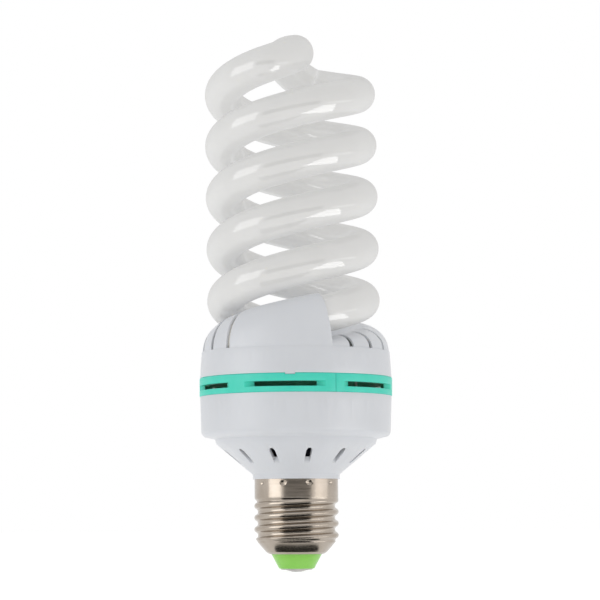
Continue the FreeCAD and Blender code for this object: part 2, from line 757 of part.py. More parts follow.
def make_top_cover():
    collar = make_cover_collar()
    mouth = float(s.hood_mouth_angle)
    wall = float(s.hood_wall)
    hood = hood_body(0, mouth - 183, mouth + 3).cut(mouth_cutter())
    cavity = hood_body(wall, mouth - 184, mouth + 6)
    front = hood.cut(cavity)
    lower = Part.makeCylinder(float(s.coil_radius) * 2, float(s.rim_height) - float(s.cover_wall) + wall + 0.2)
    hoods = front.fuse(half_turn(front)).cut(lower)
    hood_inside = 2 * float(s.coil_radius) - float(s.rim_radius) + float(s.rim_ledge) - float(s.hood_spread)
    deck_radius = hood_inside + (wall + float(s.hood_ledge)) / 2
    deck_bottom = float(s.deck_height) - float(s.deck_wall)
    deck = Part.makeCylinder(deck_radius, float(s.deck_wall), Vector(0, 0, deck_bottom))
    cutters = slot_cutters()
    cutters += [half_turn(cutter) for cutter in cutters]
    roof = shaped("cover_hoods", hoods.fuse(deck).cut(cutters))
    return join("top_cover", [collar, roof])


# Glass tube: two right-handed strands, joined over the top by an S-shaped bridge
def strand_point(angle):
    """Centre line of the right strand at an angle."""
    end = float(s.coil_end_angle)
    narrow = min(max(1 - (end - angle) / 216, 0.0), 1.0) ** 2
    radius = float(s.coil_radius) - float(s.coil_narrowing) * narrow
    turn = math.radians(angle)
    height = float(s.coil_lobe_height) + float(s.coil_pitch) * angle / 360
    return Vector(radius * math.cos(turn), radius * math.sin(turn), height)


def bridge_point(part):
    """Centre line of the bridge's first half, from the right strand to the axis."""
    end = strand_point(float(s.coil_end_angle))
    away = (end - strand_point(float(s.coil_end_angle) - 0.5)).normalize()
    top = Vector(0, 0, float(s.bridge_top))
    turn = math.radians(float(s.bridge_angle))
    through = Vector(math.cos(turn), math.sin(turn), 0)
    pulls = (end, end + away * float(s.bridge_lead), top - through * float(s.bridge_reach), top)
    rest = 1 - part
    weights = (rest ** 3, 3 * rest * rest * part, 3 * rest * part * part, part ** 3)
    middle = Vector(0, 0, 0)
    for pull, weight in zip(pulls, weights):
        middle += pull * weight
    return middle


def swept(curve, radius):
    """A round bar of a radius along a curve."""
    start = curve.value(curve.FirstParameter)
    direction = curve.tangent(curve.FirstParameter)[0]
    section = Part.Wire(Part.Circle(start, direction, radius).toShape())
    return Part.Wire(curve.toShape()).makePipeShell([section], True, False)


def leaned():
    """The small lean of the spiral in the cover."""
    pivot = Vector(0, 0, float(s.coil_lean_height))
    return Placement(Vector(0, 0, 0), Rotation(Vector(0, 1, 0), float(s.coil_lean)), pivot)


def make_spiral_tube():
    start = float(s.coil_start_angle)
    end = float(s.coil_end_angle)
    steps = 32
    points = [strand_point(start), strand_point(start + 4), strand_point(start + 12)]
    points += [strand_point(start + (end - start) * step / steps) for step in range(1, steps)]
    points += [bridge_point(step / 4.0) for step in range(5)]
    points += [Vector(-point.x, -point.y, point.z) for point in reversed(points[:-1])]
    centre_line = Part.BSplineCurve()
    centre_line.interpolate(points)
    tube = shaped("spiral_tube", swept(centre_line, float(s.tube_radius)))
    tube.Placement = leaned()
    return tube


# Cement sleeves that hold the tube's two ends inside the hoods
def make_tube_cement():
    first = float(s.coil_start_angle) + 4
    steps = 8
    points = [strand_point(first + float(s.cement_angle) * step / steps) for step in range(steps + 1)]
    curve = Part.BSplineCurve()
    curve.interpolate(points)
    inner = float(s.tube_radius) + float(s.seat_gap)
    sleeve = swept(curve, inner + float(s.cement_wall)).cut(swept(curve, inner))
    mouth = float(s.hood_mouth_angle)
    room = hood_body(float(s.hood_wall) + float(s.seat_gap), mouth - 184, mouth + 6)
    floor = Part.makeCylinder(float(s.rim_radius), float(s.rim_height) + float(s.seat_gap))
    room = room.cut([mouth_cutter(), floor])
    sleeves = []
    for flipped, hood in ((sleeve, room), (half_turn(sleeve), half_turn(room))):
        flipped.Placement = leaned().multiply(flipped.Placement)
        sleeves.append(flipped.common(hood))
    return shaped("tube_cement", Part.makeCompound(sleeves))


# Places of the components on the board, seen from above, with angles where they are turned
CHOKE = (-9.6, 0)
SMOOTHING = (7.0, 0)
TOROID = (0, -16)
TRANSISTORS = ((-7.5, 15.4), (7.5, 15.4))
FILM = (12.4, -12.6)
SMALL_CAPACITORS = ((-10.2, -12.0), (-10.2, -16.5), (-15.6, -12.0))
DIODES = ((14.9, 0), (17.9, 0), (20.9, 0), (23.9, 0))
RESISTORS = ((-17.8, 0), (-20.4, 0), (-23.0, 0))
TRIGGER = (0, 12.0)
INPUT_CHOKE = (15.2, 10.2)


def lead_places():
    """Where a lead passes through the board."""
    places = [(0, 0), (0, s.shell_lead_reach)]
    for side in (-1, 1):
        places.append((SMOOTHING[0] + 2.5 * side, SMOOTHING[1]))
        places.append((FILM[0] + 3.75 * side, FILM[1]))
        places.append((INPUT_CHOKE[0] + side, INPUT_CHOKE[1]))
        places.append((TRIGGER[0] + side * (s.trigger_length / 2 + s.axial_reach), TRIGGER[1]))
        for across in (-4.6, 4.6):
            places.append((CHOKE[0] + across, CHOKE[1] + side * 4.6))
        for x, y in SMALL_CAPACITORS:
            places.append((x + 1.25 * side, y))
        for x, y in DIODES:
            places.append((x, y + side * (s.diode_length / 2 + s.axial_reach)))
        for x, y in RESISTORS:
            places.append((x, y + side * (s.resistor_length / 2 + s.axial_reach)))
    for x, y in TRANSISTORS:
        places += [(x - 2.3, y), (x, y), (x + 2.3, y)]
    return places


def board_top():
    return s.board_height + s.board_thickness


def pin_places():
    """The four wrap pins, two near each end of the tube."""
    places = []
    for base in (0, 180):
        for side in (-1, 1):
            angle = s.coil_start_angle + base + s.pin_spread * side
            places.append((s.pin_distance * cosine(angle), s.pin_distance * sine(angle)))
    return places


def make_circuit_board():
    disc = rod("board_blank", s.board_radius, s.board_thickness, 0, 0, s.board_height)
    hole = s.lead_radius + s.lead_hole_clearance
    drills = [rod("lead_hole", hole, s.board_thickness * 2, x, y, s.board_height - s.board_thickness / 2)
              for x, y in lead_places()]
    for x, y in pin_places():
        width = s.pin_width + s.lead_hole_clearance
        drills.append(block("pin_hole", width, width, s.board_thickness * 2, x, y,
                            s.board_height - s.board_thickness / 2))
    return cut("circuit_board", disc, join("board_holes", drills))


def lead(x, y, bottom):
    """A straight lead from a height up through the board."""
    length = board_top() + s.lead_stub - as_size(bottom)
    return rod("lead", s.lead_radius, length, x, y, bottom)


# Smoothing capacitor, hanging into the cone beside the axis
def make_smoothing_capacitor():
    x, y = SMOOTHING
    can = rod("can", s.capacitor_radius, s.capacitor_height, x, y, s.board_height - s.capacitor_height)
    leads = [lead(x + 2.5 * side, y, s.board_height - 1) for side in (-1, 1)]
    return join("smoothing_capacitor", [can] + leads)


# Ballast choke: a core of two outer legs and a middle leg, a bobbin and its winding
def choke_window():
    """Width, bottom and height of the core's windows."""
    width = (s.core_width - s.core_middle) / 2 - s.core_leg
    bottom = s.board_height - s.core_height + s.core_yoke
    return width, bottom, s.core_height - s.core_yoke * 2


def make_choke_core():
    x, y = CHOKE
    width, bottom, height = choke_window()
    whole = block("core_blank", s.core_depth, s.core_width, s.core_height, x, y, s.board_height - s.core_height)
    offset = s.core_middle / 2 + width / 2
    windows = [block("core_window", s.core_depth * 2, width, height, x, y + offset * side, bottom)
               for side in (-1, 1)]
    return cut("choke_core", whole, join("core_windows", windows))


def make_choke_bobbin():
    x, y = CHOKE
    width, bottom, height = choke_window()
    gap = s.fit_clearance
    hole_x = s.core_depth + gap
    hole_y = s.core_middle + gap
    flange_y = s.core_width - s.core_leg * 2 - gap
    wall = s.bobbin_wall
    sleeve = block("bobbin_sleeve", hole_x + wall * 2, hole_y + wall * 2, height - gap, x, y, bottom + gap / 2)
    low = block("bobbin_low", s.bobbin_depth, flange_y, wall, x, y, bottom + gap / 2)
    high = block("bobbin_high", s.bobbin_depth, flange_y, wall, x, y, bottom + height - gap / 2 - wall)
    hole = block("bobbin_hole", hole_x, hole_y, height * 2, x, y, bottom - height / 2)
    former = cut("bobbin_former", join("bobbin_blank", [sleeve, low, high]), hole)
    leads = [lead(x + across, y + 4.6 * side, bottom + height - gap / 2 - wall)
             for side in (-1, 1) for across in (-4.6, 4.6)]
    return join("choke_bobbin", [former] + leads)


def make_choke_winding():
    x, y = CHOKE
    width, bottom, height = choke_window()
    gap = s.fit_clearance
    wall = s.bobbin_wall
    start = bottom + gap / 2 + wall
    tall = height - gap - wall * 2
    outer_y = s.core_width - s.core_leg * 2 - gap * 3
    blank = block("winding_blank", s.bobbin_depth - gap * 2, outer_y, tall, x, y, start)
    corners = rod("winding_round", s.bobbin_depth / 2 + wall * 2, tall, x, y, start)
    rounded = doc.addObject("Part::MultiCommon", "winding_rounded")
    rounded.Shapes = [blank, corners]
    hole = block("winding_hole", s.core_depth + gap + wall * 2, s.core_middle + gap + wall * 2,
                 tall * 2, x, y, start - tall / 2)
    return cut("choke_winding", rounded, hole)


# Drive transformer: a ring core with three short windings
def toroid_middle():
    return s.board_height - s.turn_radius - s.turn_wire_radius - s.seat_gap


def make_toroid_core():
    x, y = TOROID
    bottom = toroid_middle() - s.toroid_height / 2
    ring = rod("toroid_blank", s.toroid_radius, s.toroid_height, x, y, bottom)
    bore = rod("toroid_hole", s.toroid_bore, s.toroid_height * 2, x, y, bottom - s.toroid_height / 2)
    return cut("toroid_core", ring, bore)


def make_toroid_windings():
    x, y = TOROID
    middle = (float(s.toroid_radius) + float(s.toroid_bore)) / 2
    turns = []
    for start in (15, 135, 255):
        for step in (0, 38):
            angle = math.radians(start + step)
            around = Vector(-math.sin(angle), math.cos(angle), 0)
            centre = Vector(x + middle * math.cos(angle), y + middle * math.sin(angle), float(toroid_middle()))
            turns.append(Part.makeTorus(float(s.turn_radius), float(s.turn_wire_radius), centre, around))
    return shaped("toroid_windings", Part.makeCompound(turns))


# Power transistors, standing on three leads each
def make_power_transistors():
    packages = []
    for x, y in TRANSISTORS:
        top = s.board_height - s.transistor_gap
        case = block("case", s.transistor_width, s.transistor_depth, s.transistor_height, x, y,
                     top - s.transistor_height)
        leads = [lead(x + across, y, top - 1) for across in (-2.3, 0, 2.3)]
        packages.append(join("transistor", [case] + leads))
    return group("power_transistors", packages)


# Box capacitors
def box_capacitor(name, place_on_board, width, depth, height, spread):
    x, y = place_on_board
    case = block(name + "_case", width, depth, height, x, y, s.board_height - height)
    leads = [lead(x + spread * side, y, s.board_height - 1) for side in (-1, 1)]
    return join(name, [case] + leads)


def make_resonant_capacitor():
    return box_capacitor("resonant_capacitor", FILM, s.film_capacitor_width, s.film_capacitor_depth,
                         s.film_capacitor_height, 3.75)


def make_small_capacitors():
    cases = [box_capacitor("small_capacitor", spot, s.small_capacitor_width, s.small_capacitor_depth,
                           s.small_capacitor_height, 1.25) for spot in SMALL_CAPACITORS]
    return group("small_capacitors", cases)


# Axial components: a round body on two leads that turn up through the board
def axial(name, place_on_board, radius, length, along_x=False):
    x, y = place_on_board
    height = s.board_height - radius - s.fit_clearance
    reach = length / 2 + s.axial_reach
    body = lying_rod(name + "_body", radius, length, 0, 0, height)
    wire = lying_rod(name + "_wire", s.lead_radius, reach * 2, 0, 0, height)
    ends = []
    for side in (-1, 1):
        knee = doc.addObject("Part::Sphere", name + "_knee")
        bind(knee, Radius=s.lead_radius)
        ends.append(place(knee, 0, reach * side, height))
        ends.append(lead(0, reach * side, height))
    part = join(name, [body, wire] + ends)
    place(part, x, y, 0, 90 if along_x else 0)
    return part


def make_rectifier_diodes():
    return group("rectifier_diodes", [axial("diode", spot, s.diode_radius, s.diode_length) for spot in DIODES])


def make_resistors():
    return group("resistors", [axial("resistor", spot, s.resistor_radius, s.resistor_length)
                               for spot in RESISTORS])


def make_trigger_diode():
    return axial("trigger_diode", TRIGGER, s.trigger_radius, s.trigger_length, True)


# Input choke: a drum with its winding, standing on two leads
def make_input_choke():
    x, y = INPUT_CHOKE
    drum = rod("drum", s.input_choke_radius, s.input_choke_height, x, y, s.board_height - s.input_choke_height)
    leads = [lead(x + side, y, s.board_height - 1) for side in (-1, 1)]
    return join("input_choke", [drum] + leads)


# Fusible resistor in the cap, on the lead from the board to the centre contact
def make_fusible_resistor():
    body = rod("fuse_body", s.fuse_radius, s.fuse_length, 0, 0, s.fuse_bottom)
    top = s.fuse_bottom + s.fuse_length
    low = rod("fuse_low", s.lead_radius, s.fuse_bottom + 1 - s.solder_depth, 0, 0, s.solder_depth)
    sleeve = rod("fuse_sleeve", s.fuse_sleeve_radius, s.board_height - s.fit_clearance - top + 1, 0, 0, top - 1)
    return join("fusible_resistor", [body, low, sleeve, lead(0, 0, top)])


# Wires bent from straight runs and arcs
def bent_wire(points, radius, bend):
    edges = []
    start = points[0]
    for before, corner, after in zip(points, points[1:], points[2:]):
        into = (corner - before).normalize()
        out = (after - corner).normalize()
        half = into.getAngle(out) / 2
        back = bend * math.tan(half)
        first = corner - into * back
        last = corner + out * back
        inside = (out - into).normalize()
        middle = corner + inside * (bend / math.cos(half) - bend)
        edges.append(Part.LineSegment(start, first).toShape())
        edges.append(Part.Arc(first, middle, last).toShape())
        start = last
    edges.append(Part.LineSegment(start, points[-1]).toShape())
    direction = (points[1] - points[0]).normalize()
    section = Part.Wire(Part.Circle(points[0], direction, radius).toShape())
    return Part.Wire(edges).makePipeShell([section], True, False)


# Lead from the board to the cap's inner wall, below the spigot
def make_shell_lead():
    reach = float(s.shell_lead_reach)
    height = float(s.shell_lead_height)
    wall = float(s.collar_radius - s.cap_wall - s.seat_gap)
    top = float(board_top() + s.lead_stub)
    points = [Vector(0, reach, top), Vector(0, reach, height), Vector(0, wall, height)]
    return shaped("shell_lead", bent_wire(points, float(s.lead_radius), float(s.wire_bend)))


# Wrap pins and the four filament leads that run to them from the tube's ends
def make_wrap_pins():
    height = s.pin_length + s.board_thickness
    return group("wrap_pins", [block("wrap_pin", s.pin_width, s.pin_width, height, x, y, s.board_height)
                               for x, y in pin_places()])


def make_filament_leads():
    start = strand_point(float(s.coil_start_angle))
    down = (start - strand_point(float(s.coil_start_angle) + 0.5)).normalize()
    across = Vector(0, 0, 1).cross(down).normalize() * float(s.filament_spread)
    radius = float(s.filament_radius)
    top = float(board_top() + s.pin_length + s.filament_radius * 2)
    lean_now = leaned()
    wires = []
    for flip in (1, -1):
        for side, (x, y) in zip((1, -1), pin_places()[:2]):
            begin = start + across * side
            begin = lean_now.multVec(Vector(begin.x * flip, begin.y * flip, begin.z))
            off = lean_now.Rotation.multVec(Vector(down.x * flip, down.y * flip, down.z))
            begin += off * float(s.seat_gap)
            turn = begin + off * 3
            pin = Vector(float(x) * flip, float(y) * flip, top)
            wires.append(bent_wire([begin, turn, pin], radius, float(s.wire_bend)))
    return shaped("filament_leads", Part.makeCompound(wires))


PIECES = (
    make_centre_contact,
    make_contact_solder,
    make_base_insulator,
    make_screw_shell,
    make_lower_housing,
    make_vent_ring,
    make_top_cover,
    make_spiral_tube,
    make_tube_cement,
    make_circuit_board,
    make_smoothing_capacitor,
    make_choke_core,
    make_choke_bobbin,
    make_choke_winding,
    make_toroid_core,
    make_toroid_windings,
    make_power_transistors,
    make_resonant_capacitor,
    make_small_capacitors,
    make_rectifier_diodes,
    make_resistors,
    make_trigger_diode,
    make_input_choke,
    make_fusible_resistor,
    make_shell_lead,
    make_wrap_pins,
    make_filament_leads,
)

parts = []
for make_piece in PIECES:
    piece = make_piece()
    piece.Label = make_piece.__name__.replace("make_", "")
    parts.append(piece)
doc.recompute()

for item in doc.Objects:
    if "Invalid" in item.State or "Error" in item.State:
        raise RuntimeError("%s failed: %s" % (item.Label, item.State))
os.makedirs("parts", exist_ok=True)
for piece in parts:
    if piece.Shape.isNull() or not piece.Shape.isValid():
        raise RuntimeError("%s has no valid shape" % piece.Label)
for piece in parts:
    solids = len(piece.Shape.Solids)
    print(piece.Label, "solids", solids, "volume", round(piece.Shape.Volume, 2))
    piece.Shape.exportStep("parts/%s.step" % piece.Label)
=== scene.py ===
# %% [markdown]
# # A spiral energy saving bulb
#
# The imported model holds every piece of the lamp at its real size. This lesson dresses it: the pieces
# that show get smooth meshes, and every piece gets a finish of its own, made from nodes. The lamp's axis
# is Z, the underside of its contact lies at the origin, and all lengths are in metres.

# %% Load the frame
import json
import math

import bpy
from mathutils import Euler, Matrix, Vector


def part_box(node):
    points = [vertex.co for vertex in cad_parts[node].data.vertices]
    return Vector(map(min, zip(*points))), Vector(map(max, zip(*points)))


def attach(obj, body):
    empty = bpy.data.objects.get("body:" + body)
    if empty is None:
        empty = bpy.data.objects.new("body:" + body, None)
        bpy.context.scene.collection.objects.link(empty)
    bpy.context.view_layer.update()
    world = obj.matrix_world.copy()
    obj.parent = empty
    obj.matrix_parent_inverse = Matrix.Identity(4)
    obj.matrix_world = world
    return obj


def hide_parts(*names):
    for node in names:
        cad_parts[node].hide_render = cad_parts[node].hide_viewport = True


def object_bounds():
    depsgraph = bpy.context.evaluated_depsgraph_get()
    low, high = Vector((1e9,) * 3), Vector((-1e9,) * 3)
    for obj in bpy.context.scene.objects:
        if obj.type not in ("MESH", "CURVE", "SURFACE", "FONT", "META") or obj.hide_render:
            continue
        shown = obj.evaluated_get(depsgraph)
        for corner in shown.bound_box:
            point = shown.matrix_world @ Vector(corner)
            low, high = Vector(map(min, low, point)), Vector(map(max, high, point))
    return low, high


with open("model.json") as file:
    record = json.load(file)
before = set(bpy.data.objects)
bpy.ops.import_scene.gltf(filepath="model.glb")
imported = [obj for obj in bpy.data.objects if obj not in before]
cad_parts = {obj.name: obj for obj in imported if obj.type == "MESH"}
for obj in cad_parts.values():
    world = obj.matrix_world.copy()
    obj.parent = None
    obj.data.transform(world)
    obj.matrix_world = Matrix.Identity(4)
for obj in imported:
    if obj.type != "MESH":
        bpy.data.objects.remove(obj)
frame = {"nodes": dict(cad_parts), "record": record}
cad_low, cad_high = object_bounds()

nodes = frame["nodes"]
MM = 0.001
print("pieces in the frame:", len(nodes))
print("height of the lamp in mm:", round((cad_high.z - cad_low.z) / MM, 1))

# %% [markdown]
# ## Selecting
#
# Blender's operators act on everything that is selected. So each step starts with nothing selected and
# then picks its one object.

# %% One object at a time
def pick(piece):
    bpy.ops.object.select_all(action="DESELECT")
    piece.select_set(True)
    bpy.context.view_layer.objects.active = piece


def show_count(piece):
    print(piece.name, "faces:", len(piece.data.polygons))


pick(nodes["screw_shell"])
show_count(nodes["screw_shell"])

# %% [markdown]
# ## Node helpers
#
# A finish is a small tree of nodes. Nearly all of them use the same three ideas: a noise in the object's
# own coordinates, a colour that drifts a little with that noise, and a fine relief. A few helpers keep
# the finishes below short.

# %% Nodes and links
def add_node(finish, kind, **inputs):
    node = finish.node_tree.nodes.new(kind)
    for name, value in inputs.items():
        node.inputs[name].default_value = value
    return node


def connect(finish, source, target):
    finish.node_tree.links.new(source, target)


def shader_of(finish):
    return finish.node_tree.nodes["Principled BSDF"]


def new_finish(name, colour, roughness, metallic=0.0):
    """A finish with a slot's name. The frame's plain material of that name makes room for it."""
    plain = bpy.data.materials.get(name)
    if plain:
        plain.name = name + "_plain"
    finish = bpy.data.materials.new(name)
    finish.use_nodes = True
    shader = shader_of(finish)
    shader.inputs["Base Color"].default_value = (*colour, 1.0)
    shader.inputs["Roughness"].default_value = roughness
    shader.inputs["Metallic"].default_value = metallic
    finish.diffuse_color = (*colour, 1.0)
    return finish


print("plain materials in the frame:", len(bpy.data.materials))

# %% Patterns and what they drive
PATTERN_LOW = 0.35
PATTERN_HIGH = 0.65
# The mix node's sockets for colours share their names with those for numbers, so they go by index
MIX_SHARE = 0
MIX_FIRST = 6
MIX_SECOND = 7
MIX_RESULT = 2


def grain(finish, size, detail=2.0, stretch=(1.0, 1.0, 1.0)):
    """Noise with spots of about that size in metres, drawn out along the axes by stretch."""
    place = add_node(finish, "ShaderNodeTexCoord")
    mapping = add_node(finish, "ShaderNodeMapping", Scale=tuple(1 / part for part in stretch))
    noise = add_node(finish, "ShaderNodeTexNoise", Scale=1 / size, Detail=detail)
    connect(finish, place.outputs["Object"], mapping.inputs["Vector"])
    connect(finish, mapping.outputs["Vector"], noise.inputs["Vector"])
    return noise.outputs["Fac"]


def ramp(finish, pattern, low, high, start=PATTERN_LOW, end=PATTERN_HIGH):
    """A number that goes from low to high where the pattern goes from start to end."""
    scale = add_node(finish, "ShaderNodeMapRange")
    scale.inputs["From Min"].default_value = start
    scale.inputs["From Max"].default_value = end
    scale.inputs["To Min"].default_value = low
    scale.inputs["To Max"].default_value = high
    connect(finish, pattern, scale.inputs["Value"])
    return scale.outputs["Result"]


def base_mix(finish, share, second):
    """A mix node that gives the base colour. Where the share is 1 it gives the second colour."""
    mix = finish.node_tree.nodes.new("ShaderNodeMix")
    mix.data_type = "RGBA"
    mix.inputs[MIX_SECOND].default_value = (*second, 1.0)
    connect(finish, share, mix.inputs[MIX_SHARE])
    connect(finish, mix.outputs[MIX_RESULT], shader_of(finish).inputs["Base Color"])
    return mix


def drift_colour(finish, pattern, dark, light, start=PATTERN_LOW, end=PATTERN_HIGH):
    """Base colour between two colours by the pattern."""
    mix = base_mix(finish, ramp(finish, pattern, 0.0, 1.0, start, end), light)
    mix.inputs[MIX_FIRST].default_value = (*dark, 1.0)
    return mix.outputs[MIX_RESULT]


def drift_gloss(finish, pattern, low, high):
    connect(finish, ramp(finish, pattern, low, high), shader_of(finish).inputs["Roughness"])


def relief(finish, pattern, height):
    """Relief whose peaks stand a height in metres above its valleys."""
    bump = add_node(finish, "ShaderNodeBump", Distance=height)
    connect(finish, pattern, bump.inputs["Height"])
    connect(finish, bump.outputs["Normal"], shader_of(finish).inputs["Normal"])


print("noise is used from", PATTERN_LOW, "to", PATTERN_HIGH)

# %% [markdown]
# ## Opal glass
#
# The tube is clear glass with a white powder inside. The powder scatters the light and looks like a soft
# matte white, and the glass over it mirrors the lamps sharply. A rough white base under a clear coat does
# the same, and a little scattering below the surface softens the shading. Towards its outline a real tube
# shows its own thick wall and not the bright room, so the coat fades there, by the Layer Weight node.

# %% Opal glass
EDGE_STARTS = 0.45
EDGE_ENDS = 0.85


def make_opal_glass():
    finish = new_finish("opal_glass", (0.79, 0.784, 0.77), 0.55)
    shader = shader_of(finish)
    shader.inputs["Coat Roughness"].default_value = 0.03
    shader.inputs["Coat IOR"].default_value = 1.75
    edge = add_node(finish, "ShaderNodeLayerWeight", Blend=0.5)
    coat = ramp(finish, edge.outputs["Facing"], 1.0, 0.1, EDGE_STARTS, EDGE_ENDS)
    connect(finish, coat, shader.inputs["Coat Weight"])
    shader.inputs["Specular IOR Level"].default_value = 0.0
    shader.inputs["Subsurface Weight"].default_value = 0.5
    shader.inputs["Subsurface Radius"].default_value = (1.0, 1.0, 0.95)
    shader.inputs["Subsurface Scale"].default_value = 4 * MM
    drift_colour(finish, grain(finish, 9 * MM, 3.0), (0.78, 0.774, 0.76), (0.80, 0.794, 0.78))
    return finish


opal_glass = make_opal_glass()
print(opal_glass.name)

# %% [markdown]
# ## Painted shade behind the windows
#
# Housing and cover are the same white plastic. But whoever looks through the windows of the green ring
# sees a dark green wall, because it lies in shade and only the ring's own green light gets there. That
# shade and green light are painted: three ranges pick out that wall, by the distance from the axis and by
# the height, and the base colour turns to a painted dark green shade on it.

# %% Painted shade behind the windows
INSIDE_RADIUS = 28.0
INSIDE_BOTTOM = 54.6
INSIDE_TOP = 65.8
INSIDE_BLUR = 0.2


def range_share(finish, value, low, high, middle):
    """From low to high within a short blur about a middle in mm."""
    return ramp(finish, value, low, high, (middle - INSIDE_BLUR) * MM, (middle + INSIDE_BLUR) * MM)


def window_shade_share(finish):
    """1 on the walls that show through the ring's windows, where the dark green shade is painted, 0
    elsewhere.
    """
    place = add_node(finish, "ShaderNodeTexCoord")
    flat = add_node(finish, "ShaderNodeMapping", Scale=(1, 1, 0))
    away = add_node(finish, "ShaderNodeVectorMath")
    away.operation = "LENGTH"
    parts = add_node(finish, "ShaderNodeSeparateXYZ")
    connect(finish, place.outputs["Object"], flat.inputs["Vector"])
    connect(finish, flat.outputs["Vector"], away.inputs[0])
    connect(finish, place.outputs["Object"], parts.inputs[0])
    product = range_share(finish, away.outputs["Value"], 1.0, 0.0, INSIDE_RADIUS)
    above = range_share(finish, parts.outputs["Z"], 0.0, 1.0, INSIDE_BOTTOM)
    below = range_share(finish, parts.outputs["Z"], 1.0, 0.0, INSIDE_TOP)
    for share in (above, below):
        times = add_node(finish, "ShaderNodeMath")
        times.operation = "MULTIPLY"
        connect(finish, product, times.inputs[0])
        connect(finish, share, times.inputs[1])
        product = times.outputs[0]
    return product


def paint_window_shade(finish, outside, window_shade_colour):
    """Base colour that turns to a painted dark green shade on those walls."""
    mix = base_mix(finish, window_shade_share(finish), window_shade_colour)
    connect(finish, outside, mix.inputs[MIX_FIRST])


print("tinted walls from", INSIDE_BOTTOM, "to", INSIDE_TOP, "mm")

# %% [markdown]
# ## Moulded plastics
#
# The white plastic comes from polished moulds and is a little cool in colour. The ring is a semi-gloss
# green one that lets some light in. A fine uneven relief, far smaller than a millimetre, breaks up their
# highlights.

# %% White housing plastic
def make_white_plastic():
    finish = new_finish("white_housing", (0.73, 0.745, 0.775), 0.36)
    shader = shader_of(finish)
    shader.inputs["Subsurface Weight"].default_value = 0.12
    shader.inputs["Subsurface Radius"].default_value = (1.0, 0.9, 0.8)
    shader.inputs["Subsurface Scale"].default_value = 0.6 * MM
    spots = grain(finish, 12 * MM, 3.0)
    white = drift_colour(finish, spots, (0.72, 0.735, 0.765), (0.74, 0.755, 0.785))
    # Painted shade: the walls behind the ring's windows turn dark green, for shade and the ring's green
    # light.
    paint_window_shade(finish, white, (0.08, 0.50, 0.30))
    drift_gloss(finish, grain(finish, 3 * MM, 2.0), 0.32, 0.42)
    relief(finish, grain(finish, 0.5 * MM, 2.0), 0.006 * MM)
    return finish


white_plastic = make_white_plastic()
print(white_plastic.name)

# %% Green ring plastic
def make_green_plastic():
    finish = new_finish("green_ring", (0.08, 0.75, 0.58), 0.45)
    shader = shader_of(finish)
    shader.inputs["Specular IOR Level"].default_value = 0.35
    shader.inputs["Subsurface Weight"].default_value = 0.4
    shader.inputs["Subsurface Radius"].default_value = (0.2, 1.0, 0.8)
    shader.inputs["Subsurface Scale"].default_value = 1.5 * MM
    drift_colour(finish, grain(finish, 6 * MM, 3.0), (0.07, 0.735, 0.565), (0.09, 0.765, 0.595))
    drift_gloss(finish, grain(finish, 2 * MM, 2.0), 0.40, 0.50)
    relief(finish, grain(finish, 0.4 * MM, 2.0), 0.006 * MM)
    return finish


green_plastic = make_green_plastic()
print(green_plastic.name)

# %% [markdown]
# ## Metals of the cap
#
# The cap is thin brass sheet with a nickel plating that keeps a warm tone. Rolling leaves faint lines round
# it, so the noise is squeezed along Z. The contact, the solder and the wires are duller and share one
# helper.

# %% Nickel, tin and solder
def make_nickel():
    finish = new_finish("nickel_cap", (0.415, 0.362, 0.307), 0.22, 1.0)
    drift_colour(finish, grain(finish, 5 * MM, 4.0), (0.39, 0.337, 0.282), (0.44, 0.387, 0.332))
    lines = grain(finish, 1.2 * MM, 3.0, (8.0, 8.0, 0.2))
    drift_gloss(finish, lines, 0.17, 0.24)
    relief(finish, lines, 0.0015 * MM)
    return finish


def make_dull_metal(name, dark, light, spot):
    finish = new_finish(name, light, 0.35, 1.0)
    pattern = grain(finish, spot, 4.0)
    drift_colour(finish, pattern, dark, light)
    drift_gloss(finish, pattern, 0.28, 0.45)
    relief(finish, grain(finish, spot / 4, 3.0), 0.02 * MM)
    return finish


nickel = make_nickel()
tinned_contact = make_dull_metal("tinned_contact", (0.42, 0.40, 0.38), (0.56, 0.54, 0.51), 2 * MM)
solder_metal = make_dull_metal("solder", (0.52, 0.52, 0.52), (0.68, 0.68, 0.67), 1.5 * MM)
tinned_wire = make_dull_metal("tinned_wire", (0.60, 0.60, 0.59), (0.74, 0.74, 0.73), 0.8 * MM)
print(nickel.name, tinned_contact.name, solder_metal.name, tinned_wire.name)

# %% [markdown]
# ## Insulator glass
#
# The button under the cap is opaque glass, light green and a little wavy from its mould. A thin coat gives
# it the shine of glass over a body that looks matte.

# %% Insulator glass
def make_insulator_glass():
    finish = new_finish("insulator_glass", (0.335, 0.75, 0.135), 0.35)
    shader = shader_of(finish)
    shader.inputs["Specular IOR Level"].default_value = 0.3
    shader.inputs["Coat Weight"].default_value = 0.25
    shader.inputs["Coat Roughness"].default_value = 0.08
    drift_colour(finish, grain(finish, 4 * MM, 3.0), (0.32, 0.735, 0.125), (0.35, 0.765, 0.145))
    relief(finish, grain(finish, 3 * MM, 1.0), 0.03 * MM)
    return finish


insulator_glass = make_insulator_glass()
print(insulator_glass.name)

# %% [markdown]
# ## Finishes inside the housing
#
# The board and its components show only through the vents, but someone may open the model. Each gets what
# marks it: fibres in the board, speckles in the ferrite, close turns in the copper, a sleeve on the can.
# Two helpers make them all, one for speckles and one for bands, and a table holds what differs.

# %% Speckled and moulded finishes
GLOSS_DRIFT = 0.06


def make_speckled(name, dark, light, spot, roughness, height):
    finish = new_finish(name, light, roughness)
    pattern = grain(finish, spot, 4.0)
    drift_colour(finish, pattern, dark, light)
    wide_spots = grain(finish, 3 * spot, 2.0)
    drift_gloss(finish, wide_spots, roughness - GLOSS_DRIFT, roughness + GLOSS_DRIFT)
    relief(finish, pattern, height)
    return finish


